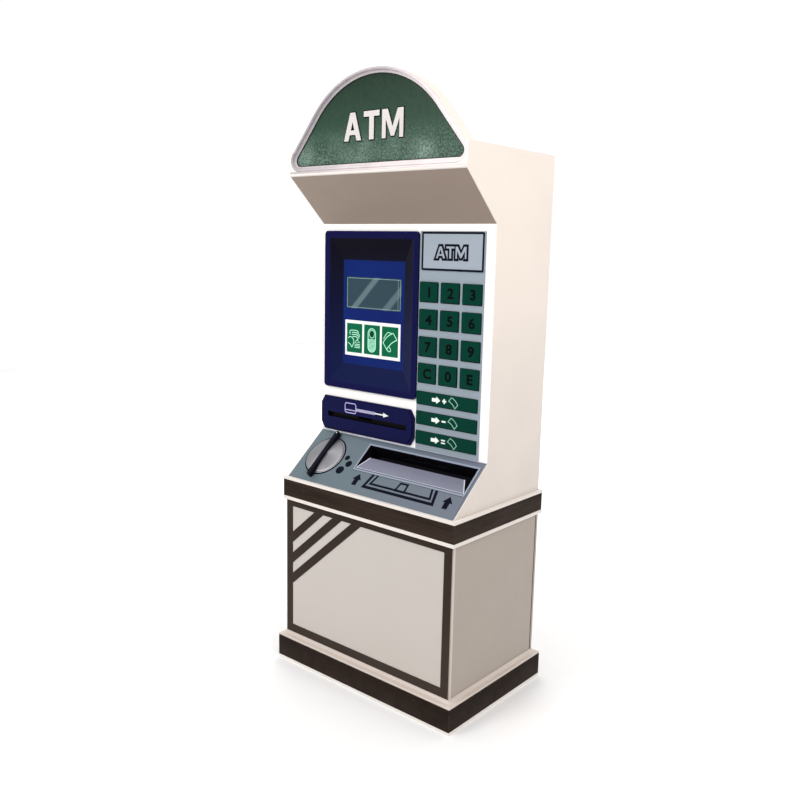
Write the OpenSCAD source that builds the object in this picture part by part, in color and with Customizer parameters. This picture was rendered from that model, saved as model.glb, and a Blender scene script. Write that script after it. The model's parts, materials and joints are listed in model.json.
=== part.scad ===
// Free-standing cash machine: plinth, safe cabinet, sloped console, upright fascia, hood and arched sign.
// Millimetres. X is the machine's width, -Y its front, +Z up.
// The origin is the centre of the footprint, on the floor.

/* [Cabinet] */
// Width of the lower cabinet
cabinet_w = 740; // [700:5:780]
// Depth of the lower cabinet
cabinet_d = 480; // [460:5:520]
// How far the plinth stands out beyond the cabinet
plinth_out = 21; // [18:1:26]
// Thickness of the floor plate
base_t = 10; // [8:1:12]
// Height of the dark plinth band
plinth_band_h = 74; // [65:1:85]
// Height of the moulding on top of the plinth
moulding_h = 21; // [18:1:24]
// Height of the front panel that shows above the moulding
front_h = 494; // [470:1:510]
// Sheet thickness of the cabinet's panels
sheet = 3; // [2:0.5:4]

/* [Waist] */
// Height of the dark waist band
band_h = 60; // [50:1:70]
// How far the waist band stands out beyond the cabinet
band_out = 8; // [6:1:12]
// Height of the pale trim under the band
trim_low_h = 12; // [8:1:16]
// Height of the pale trim over the band
trim_high_h = 10; // [8:1:12]

/* [Upper body] */
// Width of the upper body
upper_w = 734; // [700:2:740]
// Depth of the sloped console, front to fascia
console_run = 169; // [160:1:180]
// Height that the console climbs
console_rise = 147; // [140:1:155]
// Height of the upright fascia
fascia_h = 731; // [720:1:745]
// Height of the slanting underside of the hood
soffit_rise = 150; // [140:1:160]
// Height of the hood's front, from the soffit's edge to the roof
hood_h = 75; // [72:1:85]
// Gap between the hood's front edge and the front of the console
hood_back = 10; // [6:1:16]

/* [Sign] */
// Height of the sign from its base to the top of its arch
sign_h = 294; // [285:1:300]
// Radius of the arch
sign_r = 333; // [325:1:340]
// Half the sign's width
sign_half_w = 362; // [361:0.5:363]
// Depth of the whole sign
sign_d = 60; // [50:1:70]
// Width of the sign's rim
rim_w = 16; // [12:1:20]

/* [Keys] */
// Width of a number key
key_w = 71.5; // [68:0.5:73]
// Height of a number key
key_h = 61.5; // [58:0.5:64]
// Width of a function key
bar_key_w = 242; // [236:1:244]
// Height of a function key
bar_key_h = 40.5; // [36:0.5:44]
// How far a key stands out of its panel
key_proud = 6; // [4:0.5:8]
// Travel of a key
key_travel = 2.8; // [2:0.1:3]

/* [Knob and cash tray] */
// Radius of the knob's dome
knob_r = 77; // [70:1:80]
// Length of the knob's grip bar
knob_bar_l = 197; // [180:1:197]
// Width of the cash tray's mouth
tray_w = 455; // [430:1:456]
// Length of the cash tray's mouth along the slope
tray_l = 101; // [96:1:104]
// Depth of the cash tray
tray_depth = 60; // [56:1:66]
// Angle that the flap hangs below the console's face
flap_tilt = 4; // [2:1:8]

/* [Safe] */
// Wall thickness of the safe
safe_wall = 10; // [8:1:12]
// Thickness of the safe door's slab
safe_door_t = 16; // [12:1:18]
// Radius of the floor anchor holes
anchor_r = 7; // [6:0.5:8]
// Radius of the cable entry in the floor plate
cable_r = 20; // [16:1:25]

/* [Hidden] */
$fn = 48;

// Levels, from the floor up
z_band0 = base_t;
z_mould = z_band0 + plinth_band_h;
z_front = z_mould + moulding_h;
z_trim_low = z_front + front_h;
z_waist = z_trim_low + trim_low_h;
z_trim_high = z_waist + band_h;
z_upper = z_trim_high + trim_high_h;
z_fascia = z_upper + console_rise;
z_soffit = z_fascia + fascia_h;
z_hood = z_soffit + soffit_rise;
z_roof = z_hood + hood_h;
z_sign = z_hood + 14;

// Planes, front to back
y_front = -cabinet_d / 2;
y_back = cabinet_d / 2;
y_console = y_front + 2;
y_fascia = y_console + console_run;
y_hood = y_console + hood_back;

half_w = cabinet_w / 2;
upper_half = upper_w / 2;
inner_half = upper_half - sheet;
slope = atan2(console_rise, console_run);
slope_l = norm([console_run, console_rise]);
touch = 0.2;      // gap left between pieces that slide past each other in assembly
running = 0.05;   // radial clearance of every turning fit

// Colours
cream = "#efe6df";
dark = "#3d322d";
steel = "#b9bcc0";
console_grey = "#7f92a0";
panel_grey = "#a9b3b8";
navy = "#1b1c55";
sign_green = "#2f6048";
key_green = "#0b4a37";
black = "#16181c";

// ---- shared shapes ----

// A rectangle with true round corners, given by its corners
module round_rect(x0, y0, x1, y1, r) {
    translate([x0 + r, y0]) square([x1 - x0 - 2 * r, y1 - y0]);
    translate([x0, y0 + r]) square([x1 - x0, y1 - y0 - 2 * r]);
    for (x = [x0 + r, x1 - r], y = [y0 + r, y1 - r]) translate([x, y]) circle(r);
}

// A ring round the cabinet: its outer half sizes, its wall and its levels
module ring(hx, hy, wall, z0, z1) {
    translate([0, 0, z0]) linear_extrude(z1 - z0) difference() {
        square([2 * hx, 2 * hy], center = true);
        square([2 * (hx - wall), 2 * (hy - wall)], center = true);
    }
}

// A box from corner to corner
module slab(a, b) {
    translate(a) cube(b - a);
}

// Draws an X-Z outline and extrudes it towards +Y from plane y, by t
module upright(y, t) {
    translate([0, y + t, 0]) rotate([90, 0, 0]) linear_extrude(t) children();
}

// Draws a Y-Z outline and extrudes it towards +X from plane x, by t
module sideways(x, t) {
    translate([x, 0, 0]) rotate([90, 0, 90]) linear_extrude(t) children();
}

// The console's own frame: X across, Y up the slope, Z out of its face
module on_slope(x = 0, s = 0, n = 0) {
    translate([0, y_console, z_upper]) rotate([slope, 0, 0]) translate([x, s, n]) children();
}

// A rod along X between two ends
module rod_x(x0, x1, r) {
    translate([x0, 0, 0]) rotate([0, 90, 0]) cylinder(r = r, h = x1 - x0);
}

// ---- plinth ----

anchor_dx = 300;
anchor_dy = 180;
cable_pos = [180, 150];
plinth_hx = half_w + plinth_out;
plinth_hy = cabinet_d / 2 + plinth_out;
plinth_wall = plinth_out + 19;

module base_plate() {
    color(cream) difference() {
        slab([-plinth_hx, -plinth_hy, 0], [plinth_hx, plinth_hy, base_t]);
        for (x = [-anchor_dx, anchor_dx], y = [-anchor_dy, anchor_dy])
            translate([x, y, -1]) cylinder(r = anchor_r, h = base_t + 2);
        translate([cable_pos[0], cable_pos[1], -1]) cylinder(r = cable_r, h = base_t + 2);
    }
}

module plinth_band() {
    color(dark) ring(plinth_hx, plinth_hy, plinth_wall, z_band0, z_mould);
}

// Profile of the moulding: a rounded nose below and a cove above, outwards from the cabinet's face
nose_r = 4;
module moulding_profile() {
    square([plinth_out - nose_r, 2 * nose_r]);
    translate([plinth_out - nose_r, nose_r]) circle(nose_r);
    cove = moulding_h - 2 * nose_r;
    difference() {
        translate([0, 2 * nose_r]) square([cove - 1, cove]);
        translate([cove, moulding_h]) circle(cove - 1);
    }
}

// One mitred length of moulding, centred on X, with its back on y = 0 and its nose towards -Y
module moulding_length(half, long) {
    intersection() {
        translate([-long, 0, 0]) rotate([90, 0, 90]) linear_extrude(2 * long)
            mirror([1, 0]) moulding_profile();
        translate([0, 0, -1]) linear_extrude(moulding_h + 2)
            polygon([[-half, 0], [half, 0], [half + 50, -50], [-half - 50, -50]]);
    }
}

module plinth_moulding() {
    color(cream) translate([0, 0, z_mould]) {
        for (a = [0, 180]) rotate(a) translate([0, y_front, 0]) moulding_length(half_w, half_w + 60);
        for (a = [90, 270]) rotate(a) translate([0, -half_w, 0]) moulding_length(y_back, y_back + 60);
    }
}

// ---- lower cabinet ----

module lower_side(x) {
    color(cream) slab([x, y_front, z_mould], [x + sheet, y_back, z_trim_low]);
}

module lower_side_left() { lower_side(-half_w); }
module lower_side_right() { lower_side(half_w - sheet); }

module front_panel() {
    color(cream) slab([-half_w + sheet, y_front, z_mould], [half_w - sheet, y_front + sheet, z_trim_low]);
}

border_side = 30;
border_low = 30;
border_high = 23;
stripe_w = 44;      // measured along X, and the same again is left between two stripes
stripe_first = 108; // from the border's inner corner to the first stripe, along X
stripe_count = 3;
stripe_slope = 0.87;
trim_t = 1.5;

// The dark border of the front panel with three stripes across its upper left corner
module front_trim() {
    x0 = -half_w + 2;
    x_in = -half_w + border_side + 2;
    z_in = z_trim_low - border_high;
    color(dark) upright(y_front - trim_t, trim_t) {
        difference() {
            translate([x0, z_front]) square([-2 * x0, front_h]);
            translate([x_in, z_front + border_low])
                square([-2 * x_in, front_h - border_low - border_high]);
        }
        for (i = [0 : stripe_count - 1]) {
            a = stripe_first + 2 * i * stripe_w;
            b = a + stripe_w;
            polygon([[x_in + a, z_in + 1], [x_in + b, z_in + 1], [x_in + b, z_in],
                     [x_in, z_in - b * stripe_slope], [x_in - 1, z_in - b * stripe_slope],
                     [x_in - 1, z_in - a * stripe_slope], [x_in, z_in - a * stripe_slope],
                     [x_in + a, z_in]]);
        }
    }
}

// ---- waist ----

waist_wall = band_out + 20;
trim_proud = 1.5;

module waist_band() {
    color(dark) ring(half_w + band_out, y_back + band_out, waist_wall, z_waist, z_trim_high);
}

module waist_trims() {
    hx = half_w + band_out + trim_proud;
    hy = y_back + band_out + trim_proud;
    color(cream) {
        ring(hx, hy, waist_wall, z_trim_low, z_waist);
        ring(hx, hy, waist_wall, z_trim_high, z_upper);
    }
}

deck_t = 6;
chute_x = [20, 220];
chute_y = [-38, -4];

// The space that a floor leaves round the note chute, between two levels
module chute_gap(z0, z1) {
    clear = 4;
    slab([chute_x[0] - clear, chute_y[0] - clear, z0], [chute_x[1] + clear, chute_y[1] + clear, z1]);
}

// Floor of the upper body, inside the waist band, with a gap for the note chute
module deck_plate() {
    hx = half_w + band_out - waist_wall;
    hy = y_back + band_out - waist_wall;
    color(steel) difference() {
        slab([-hx, -hy, z_trim_high - deck_t], [hx, hy, z_trim_high]);
        chute_gap(z_waist, z_upper);
        translate([cable_pos[0], cable_pos[1], z_waist]) cylinder(r = cable_r, h = band_h + 1);
    }
}

// ---- safe ----

safe_half = half_w - sheet - 5;
safe_front = y_front + 90;
safe_mouth = y_back - safe_door_t - 2;
safe_top = z_trim_low - 5;
bolt_r = 9;
bolt_z = [for (i = [-1, 1]) (z_mould + safe_top) / 2 + i * 150];
bolt_y = safe_mouth - 16;
bolt_throw = 16;
bolt_tip = safe_half - 4 - bolt_throw; // drawn back; thrown, the bolts reach into the safe's wall

module safe_body() {
    w = safe_wall;
    color(steel) difference() {
        slab([-safe_half, safe_front, z_mould], [safe_half, safe_mouth, safe_top]);
        slab([-safe_half + w, safe_front + w, z_mould + w], [safe_half - w, safe_mouth + 1, safe_top - w]);
        chute_gap(safe_top - w - 1, safe_top + 1);
        for (z = bolt_z) translate([0, bolt_y, z]) rod_x(safe_half - w - 1, safe_half + 1, bolt_r + 1);
        translate([cable_pos[0], cable_pos[1], z_mould - 1]) cylinder(r = cable_r, h = w + 2);
    }
}

hinge_r = 4;
knuckle_r = 7;
hinge_y = y_back + knuckle_r + 0.5;
safe_hinge_x = -half_w + knuckle_r + 1;
upper_hinge_x = -upper_half + knuckle_r + 1;
knuckle_h = 24;
hinge_gap = 0.5;

// The knuckle and tab that a door carries round its pin
module door_knuckle(x, z) {
    difference() {
        union() {
            translate([x, hinge_y, z - knuckle_h / 2]) cylinder(r = knuckle_r, h = knuckle_h);
            slab([x, y_back - 1, z - knuckle_h / 2], [x + 26, y_back + 4, z + knuckle_h / 2]);
        }
        translate([x, hinge_y, z - knuckle_h]) cylinder(r = hinge_r + running, h = 2 * knuckle_h);
    }
}

// The pin with the two knuckles that the cabinet carries, above and below the door's knuckle
module fixed_hinge(x, z) {
    translate([x, hinge_y, z - 1.5 * knuckle_h]) cylinder(r = hinge_r, h = 3 * knuckle_h);
    for (z0 = [z - 1.5 * knuckle_h, z + knuckle_h / 2 + hinge_gap]) {
        translate([x, hinge_y, z0]) cylinder(r = knuckle_r, h = knuckle_h - hinge_gap);
        slab([x - knuckle_r - 1, y_back, z0], [x - 1, y_back + 4, z0 + knuckle_h - hinge_gap]);
    }
}

safe_hinge_z = [z_mould + 110, safe_top - 110];
upper_hinge_z = [z_upper + 160, z_roof - 180];

module door_hinges() {
    color(steel) {
        for (z = safe_hinge_z) fixed_hinge(safe_hinge_x, z);
        for (z = upper_hinge_z) fixed_hinge(upper_hinge_x, z);
    }
}

safe_door_x0 = safe_hinge_x + 2;
safe_door_x1 = half_w - sheet - 2;
handle_x = 210;
handle_z = (z_mould + safe_top) / 2;
handle_shaft_r = 8;
guide_x = [60, 290];

module safe_door() {
    z0 = z_front + 3;
    z1 = z_trim_low - 3;
    color(cream) difference() {
        union() {
            slab([safe_door_x0, y_back - safe_door_t, z0], [safe_door_x1, y_back, z1]);
            for (z = safe_hinge_z) door_knuckle(safe_hinge_x, z);
            // guides that the bolt bars slide through
            for (z = bolt_z, x = guide_x)
                slab([x, bolt_y - 14, z - 16], [x + 16, y_back - safe_door_t + 1, z + 16]);
        }
        for (z = bolt_z) translate([0, bolt_y, z]) rod_x(guide_x[0] - 1, guide_x[1] + 17, bolt_r + 0.5);
        translate([handle_x, y_back + 1, handle_z]) rotate([90, 0, 0])
            cylinder(r = handle_shaft_r + running, h = safe_door_t + 2);
    }
}

// Two round bolts joined by an upright bar behind the door, moved together by the handle
module safe_bolts() {
    color(steel) {
        for (z = bolt_z) translate([0, bolt_y, z]) rod_x(guide_x[0] - 30, bolt_tip, bolt_r);
        slab([130, bolt_y - 5, bolt_z[0]], [160, bolt_y + 5, bolt_z[1]]);
    }
}

// Low three-spoke handle on a shaft through the door, with a crank disc behind
module safe_handle() {
    color(black) translate([handle_x, 0, handle_z]) {
        translate([0, y_back - safe_door_t - 6, 0]) rotate([-90, 0, 0]) {
            cylinder(r = handle_shaft_r, h = safe_door_t + 18);
            cylinder(r = 20, h = 5);
        }
        translate([0, y_back + 1, 0]) rotate([-90, 0, 0]) cylinder(r = 22, h = 14);
        for (a = [90, 210, 330]) rotate([0, a, 0]) translate([0, y_back + 9, 0]) {
            rod_x(10, 78, 5);
            translate([78, 0, 0]) sphere(8);
        }
    }
}

cassette = [300, 250, 88];
cassette_step = 94; // from one cassette up to the next
cassette_x = -330;
cassette_y = -60;
cassette_z = z_mould + safe_wall + 6;
cassette_count = 4;
stack_z = cassette_z + cassette_count * cassette_step; // top of the picker and of the cassettes' shelves

// One note cassette: a box with a lid line at both ends and a pull handle, open for the fingers, at the back
module note_cassette() {
    handle = [120, 22, 28];
    handle_z0 = 30;
    finger = [90, 14];
    lid = 14;
    line = [4, 2];
    middle = cassette[0] / 2;
    difference() {
        union() {
            cube(cassette);
            translate([middle - handle[0] / 2, cassette[1], handle_z0]) cube(handle);
        }
        translate([middle - finger[0] / 2, cassette[1] - 1, handle_z0 - 1])
            cube([finger[0], finger[1], handle[2] + 2]);
        for (y = [-1, cassette[1] - line[0] + 1])
            translate([-1, y, cassette[2] - lid]) cube([cassette[0] + 2, line[0], line[1]]);
    }
}

module cash_cassettes() {
    color(black) for (i = [0 : cassette_count - 1])
        translate([cassette_x, cassette_y, cassette_z + i * cassette_step]) note_cassette();
}

// A point of the console's frame as [Y, Z]
function slope_point(s, n) =
    [y_console + s * cos(slope) - n * sin(slope), z_upper + s * sin(slope) + n * cos(slope)];

// The height at y of the line that runs n off the console's face
function slope_line(y, n) = z_upper + (y - y_console) * tan(slope) + n / cos(slope);

spout_t = 6;    // half the spout's thickness
spout_past = 12; // how far the spout reaches past the rollers, up the slope
chute_foot = 40; // depth of the chute where it leaves the picker

// The chute: back from the picker, up behind the tray, and down to the rollers along the note path
module chute_profile(y0) {
    s1 = roller_s + spout_past;
    top = note_n + spout_t;
    low = note_n - spout_t;
    foot = stack_z - chute_foot;
    polygon([[y0, foot], [chute_y[1], foot], [chute_y[1], slope_line(chute_y[1], top)],
             slope_point(s1, top), slope_point(s1, low),
             [chute_y[0], slope_line(chute_y[0], low)], [chute_y[0], stack_z], [y0, stack_z]]);
}

// Shelves that carry the cassettes, the note picker in front of them and the chute up to the tray
module dispenser() {
    x = [cassette_x - 15, cassette_x + cassette[0] + 10];
    picker_y = [safe_front + safe_wall + 4, cassette_y - 4];
    picker_x1 = chute_x[1] + 30;
    shelf_t = 3;
    cheek_t = 4;
    shelf_y1 = cassette_y + cassette[1] - 10;
    floor_z = z_mould + safe_wall;
    color(steel) {
        slab([x[0], picker_y[0], floor_z], [picker_x1, picker_y[1], stack_z]);
        for (i = [0 : cassette_count]) {
            z = cassette_z - shelf_t - 1 + i * cassette_step;
            slab([x[0], picker_y[1] - 1, z], [x[1], shelf_y1, z + shelf_t]);
        }
        slab([x[1] - cheek_t, picker_y[1] - 1, floor_z], [x[1], shelf_y1, stack_z]);
        sideways(chute_x[0], chute_x[1] - chute_x[0]) chute_profile(picker_y[1] - 1);
    }
}

// ---- upper body ----

module side_profile() {
    polygon([[y_console, z_upper], [y_fascia, z_fascia], [y_fascia, z_soffit], [y_hood, z_hood],
             [y_hood, z_roof], [y_back, z_roof], [y_back, z_upper]]);
}

lip = 14;
lip_y = y_back - 28;

// side is -1 for the left panel and 1 for the right one; each has a return lip inside its back edge
module upper_side(side) {
    color(cream) {
        sideways(side > 0 ? inner_half : -upper_half, sheet) side_profile();
        x0 = side > 0 ? inner_half - lip : -inner_half - touch / 2;
        slab([x0, lip_y, z_upper + 2], [x0 + lip + touch / 2, lip_y + sheet, z_roof - 2 * sheet]);
    }
}

module upper_side_left() { upper_side(-1); }
module upper_side_right() { upper_side(1); }

// Where a point of the sign's outline lies, d inside its edge
side_angle = 40;
sign_top = z_sign + sign_h;
arch_z = sign_top - sign_r;
corner_r = (arch_z * sin(side_angle) + sign_r - sign_half_w * cos(side_angle) - z_sign * sin(side_angle))
    / (1 + sin(side_angle) - cos(side_angle));
corner_x = sign_half_w - corner_r;
corner_z = z_sign + corner_r;

function arc(c, r, from, to, steps) =
    [for (i = [0 : steps]) let (a = from + (to - from) * i / steps) c + r * [cos(a), sin(a)]];

function sign_outline(d) = concat(
    arc([corner_x, corner_z], corner_r - d, -90, side_angle, 12),
    arc([0, arch_z], sign_r - d, side_angle, 180 - side_angle, 40),
    arc([-corner_x, corner_z], corner_r - d, 180 - side_angle, 270, 12));

// The roof, notched at the front for the sign
module roof_panel() {
    color(cream) difference() {
        slab([-inner_half, y_hood, z_roof - sheet], [inner_half, y_back, z_roof]);
        upright(y_hood - 1, sign_d + 1 + touch) polygon(sign_outline(-touch));
    }
}

// The slanting underside of the hood, with an upstand at the front that fills in round the sign's foot
module soffit_panel() {
    run = y_fascia - y_hood;
    t_z = sheet / cos(atan2(soffit_rise, run));
    color(cream) {
        sideways(-inner_half, 2 * inner_half)
            polygon([[y_hood, z_hood], [y_fascia, z_soffit], [y_fascia, z_soffit + t_z],
                     [y_hood + sheet, z_hood + t_z - sheet * soffit_rise / run], [y_hood, z_hood + t_z]]);
        upright(y_hood, sheet) difference() {
            translate([-inner_half, z_hood]) square([2 * inner_half, z_roof - sheet - touch - z_hood]);
            polygon(sign_outline(-touch));
        }
    }
}

bezel = [-352, 990, 73, 1536];
card = [-366, 833, 70, 955];
pad = [76, 829, 330, 1537];
edge = 3;           // how much smaller the cut-outs in the fascia are than the pieces that cover them
card_edge = [24, 20]; // the same round the card slot, where it clears the bezel's cut corners
bezel_corner = 14;  // radius of the screen surround's corners

// Outline of the screen surround, drawn in by an inset
module screen_opening(inset) {
    round_rect(bezel[0] + inset, bezel[1] + inset, bezel[2] - inset, bezel[3] - inset, bezel_corner - inset);
}

module fascia_panel() {
    z0 = z_fascia - sheet / cos(slope);
    color(cream) difference() {
        slab([-inner_half, y_fascia, z0], [inner_half, y_fascia + sheet, z_soffit + touch]);
        upright(y_fascia - 1, sheet + 2) screen_opening(edge);
        slab([pad[0] + edge, y_fascia - 1, pad[1] + edge], [pad[2] - edge, y_fascia + sheet + 1, pad[3] - edge]);
        slab([card[0] + card_edge[0], y_fascia - 1, card[1] + card_edge[1]],
             [card[2] - card_edge[0], y_fascia + sheet + 1, card[3] - card_edge[1]]);
    }
}

// ---- sign ----

rim_d = 14;

module sign_rim() {
    color(cream) upright(y_hood, rim_d) difference() {
        polygon(sign_outline(0));
        polygon(sign_outline(rim_w));
    }
}

module sign_face() {
    color(sign_green) upright(y_hood + rim_d, 4) polygon(sign_outline(sheet + touch));
}

module sign_box() {
    color(cream) {
        upright(y_hood + rim_d, sign_d - rim_d) difference() {
            polygon(sign_outline(0));
            polygon(sign_outline(sheet));
        }
        upright(y_hood + sign_d - sheet, sheet) polygon(sign_outline(1));
    }
}

// Light tubes across the sign box, in end holders that stand on its back
module sign_lamps() {
    y = y_hood + sign_d - sheet - 16;
    tube_r = 8;
    holder = [12, 24];
    for (l = [[z_sign + 60, 290], [z_sign + 130, 240], [z_sign + 200, 160]]) {
        color("white") translate([0, y, l[0]]) rod_x(-l[1], l[1], tube_r);
        color(steel) for (x = [-l[1], l[1]])
            slab([x - holder[0] / 2, y - tube_r - 2, l[0] - holder[1] / 2],
                 [x + holder[0] / 2, y + 16, l[0] + holder[1] / 2]);
    }
}

// ---- screen ----

bezel_proud = 8;
screen_depth = 24;    // from the bezel's face to the inner plate
throat = [-331, 1006, 53, 1519];
plate = [-280, 1079, -4, 1435];
glass = [-268, 1272, -16, 1381];
picto = [-271, 1107, -15, 1231];
plate_t = 6;

// A four-sided funnel between two X-Z rectangles at planes ya and yb
module funnel(a, ya, b, yb) {
    polyhedron(
        points = [[a[0], ya, a[1]], [a[2], ya, a[1]], [a[2], ya, a[3]], [a[0], ya, a[3]],
                  [b[0], yb, b[1]], [b[2], yb, b[1]], [b[2], yb, b[3]], [b[0], yb, b[3]]],
        faces = [[3, 2, 1, 0], [4, 5, 6, 7], [0, 1, 5, 4], [1, 2, 6, 5], [2, 3, 7, 6], [3, 0, 4, 7]]);
}

// One moulding: raised rim, funnel and inner plate, with windows for the display and the pictograms
module screen_bezel() {
    y0 = y_fascia - bezel_proud;
    y1 = y0 + screen_depth;
    color(navy) difference() {
        union() {
            upright(y0, bezel_proud) screen_opening(0);
            upright(y_fascia - 1, y1 + plate_t - y_fascia + 1) screen_opening(edge + touch);
        }
        funnel(throat, y0, plate, y1);
        slab([throat[0], y0 - 1, throat[1]], [throat[2], y0 + 0.01, throat[3]]);
        for (w = [glass, picto])
            slab([w[0] + 4, y1 - 1, w[1] + 4], [w[2] - 4, y1 + plate_t + 1, w[3] - 4]);
        for (w = [glass, picto]) slab([w[0], y1 - 1, w[1]], [w[2], y1 + 3, w[3]]);
    }
}

module display_glass() {
    y1 = y_fascia - bezel_proud + screen_depth;
    g = touch;
    color(black) slab([glass[0] + g, y1 + 0.6, glass[1] + g], [glass[2] - g, y1 + 3, glass[3] - g]);
}

// White frame with three green windows behind its bars
module pictogram_panel() {
    y1 = y_fascia - bezel_proud + screen_depth;
    g = touch;
    color("white") slab([picto[0] + g, y1 - 2, picto[1] + g], [picto[2] - g, y1 + 3, picto[3] - g]);
}

// Display box behind the inner plate, with cooling grooves in its back
module display_module() {
    y1 = y_fascia - bezel_proud + screen_depth + plate_t;
    deep = 36;
    grooves = 8;
    groove_w = 10;
    groove_step = 28;
    color(steel) difference() {
        slab([glass[0] - 8, y1, glass[1] - 30], [glass[2] + 8, y1 + deep, glass[3] + 30]);
        for (i = [0 : grooves - 1]) {
            x = glass[0] + 20 + i * groove_step;
            slab([x, y1 + deep - 3, glass[1]], [x + groove_w, y1 + deep + 1, glass[3]]);
        }
    }
}

// ---- card slot ----

card_proud = 12;
card_slot = [-328, 882, 40, 900];
card_chamfer = [17, 26];
mouth = [-191, 887.5, -129, 894.5];
y_reader = y_fascia + 12;

// An octagon with long flat sides
module octagon(c, cut) {
    polygon([[c[0] + cut[0], c[1]], [c[2] - cut[0], c[1]], [c[2], c[1] + cut[1]], [c[2], c[3] - cut[1]],
             [c[2] - cut[0], c[3]], [c[0] + cut[0], c[3]], [c[0], c[3] - cut[1]], [c[0], c[1] + cut[1]]]);
}

// Bezel in two steps with a long slot, and the reader's mouth at the bottom of the slot
module card_bezel() {
    y0 = y_fascia - card_proud;
    step = 5;
    slot_depth = 16;
    c = card_edge + [1, 1];
    color(navy) difference() {
        union() {
            upright(y0 + step, card_proud - step) octagon(card, card_chamfer);
            upright(y0, step + 0.5) octagon(card + [6, 8, -6, -8], card_chamfer);
            slab([card[0] + c[0], y_fascia - 1, card[1] + c[1]], [card[2] - c[0], y_reader, card[3] - c[1]]);
        }
        slab([card_slot[0], y0 - 1, card_slot[1]], [card_slot[2], y0 + slot_depth, card_slot[3]]);
        slab([mouth[0], y0, mouth[1]], [mouth[2], y_reader + 1, mouth[3]]);
    }
}

// Reader body: a card channel, and a well in its top where its mechanism sits
module card_reader() {
    long = 138;
    margin = [22, 26];
    color(black) difference() {
        slab([mouth[0] - margin[0], y_reader, mouth[1] - margin[1]],
             [mouth[2] + margin[0], y_reader + long, mouth[3] + margin[1]]);
        slab([mouth[0], y_reader - 1, mouth[1]], [mouth[2], y_reader + long - 40, mouth[3]]);
        slab([mouth[0] + 6, y_reader + 48, mouth[3] + 10],
             [mouth[2] - 6, y_reader + long - 10, mouth[3] + margin[1] + 1]);
    }
}

// ---- keypad ----

pad_t = 4;
pad_face = y_fascia - pad_t;
key_x = [118.5, 203.5, 289];
key_z = [1346, 1258.8, 1170.6, 1083.8];
bar_x = 201;
bar_z = [1002, 935.8, 869.8];
key_gap = 0.75;
badge = [85, 1414, 328, 1535];
key_corner = 3;
key_flange_t = 3;
stem_l = 10;
stem_r = 6;
stem_end = y_fascia + key_flange_t + stem_l;
board_y = stem_end + 6;

function number_centre(i) = [key_x[i % 3], key_z[floor(i / 3)]];

// Leaves children at each key's centre, with its width and height in $w and $h
module each_key() {
    for (i = [0 : 11]) {
        $w = key_w;
        $h = key_h;
        translate([number_centre(i)[0], 0, number_centre(i)[1]]) children();
    }
    for (z = bar_z) {
        $w = bar_key_w;
        $h = bar_key_h;
        translate([bar_x, 0, z]) children();
    }
}

module keypad_panel() {
    color(panel_grey) difference() {
        slab([pad[0], pad_face, pad[1]], [pad[2], y_fascia, pad[3]]);
        each_key() upright(pad_face - 1, pad_t + 2)
            round_rect(-$w / 2 - key_gap, -$h / 2 - key_gap, $w / 2 + key_gap, $h / 2 + key_gap, key_corner);
    }
}

module keypad_badge() {
    color(panel_grey) slab([badge[0], pad_face - 2, badge[1]], [badge[2], pad_face, badge[3]]);
}

// Cap, retaining flange behind the panel and stem, for a key of width w and height h at c
module key(c, w, h) {
    flange = 2.5; // past the cap, above and below
    relief = 4;   // short of the cap, at either end
    color(key_green) translate([c[0], 0, c[1]]) {
        upright(pad_face - key_proud, key_proud + pad_t) round_rect(-w / 2, -h / 2, w / 2, h / 2, key_corner);
        upright(y_fascia, key_flange_t)
            square([w - 2 * relief, h + 2 * flange], center = true);
        translate([0, y_fascia + key_flange_t, 0]) rotate([-90, 0, 0]) cylinder(r = stem_r, h = stem_l);
    }
}

module number_key(i) { key(number_centre(i), key_w, key_h); }
module bar_key(i) { key([bar_x, bar_z[i]], bar_key_w, bar_key_h); }

// Circuit board with a dome switch behind each key's stem and four posts to the keypad panel
module keypad_board() {
    dome_h = board_y - stem_end - key_travel - touch;
    dome_r = 8;
    post_r = 4;
    post_in = post_r + 2;
    b = [pad[0] + 8, pad[1] + 5, pad[2] - 8, badge[1] - 14];
    color("#1f5c3a") {
        slab([b[0], board_y, b[1]], [b[2], board_y + 2, b[3]]);
        each_key() translate([0, board_y - dome_h, 0]) rotate([-90, 0, 0])
            cylinder(r = dome_r, h = dome_h + 0.5);
        for (x = [b[0] + post_in, b[2] - post_in], z = [b[1] + post_in, b[3] - post_in])
            translate([x, y_fascia, z]) rotate([-90, 0, 0]) cylinder(r = post_r, h = board_y - y_fascia + 1);
    }
}

// ---- console ----

knob_x = -266;
knob_s = 114.5;
knob_h = 13;
knob_shaft_r = 6;
tray_x = -107;
tray_s = 94;
tray_wall = 3;

module console_panel() {
    t_z = sheet / cos(slope);
    gap = touch + tray_wall;
    color(console_grey) difference() {
        union() {
            sideways(-inner_half, 2 * inner_half)
                polygon([[y_console, z_upper], [y_fascia, z_fascia], [y_fascia, z_fascia - t_z],
                         [y_console + sheet / sin(slope), z_upper]]);
            on_slope(knob_x, knob_s, -16) cylinder(r = 14, h = 15);
        }
        on_slope(tray_x - gap, tray_s - gap, -10) cube([tray_w + 2 * gap, tray_l + 2 * gap, 20]);
        on_slope(knob_x, knob_s, -20) cylinder(r = knob_shaft_r + running, h = 30);
    }
}

knob_rim = 3; // height of the knob's upright edge
dome_rise = knob_h - knob_rim;
dome_r = (knob_r * knob_r + dome_rise * dome_rise) / (2 * dome_rise);

// The knob's crown, from height z0 up
module knob_dome(z0) {
    intersection() {
        translate([0, 0, z0]) cylinder(r = knob_r, h = knob_h + 1 - z0);
        translate([0, 0, knob_h - dome_r]) sphere(dome_r, $fn = 120);
    }
}

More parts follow.
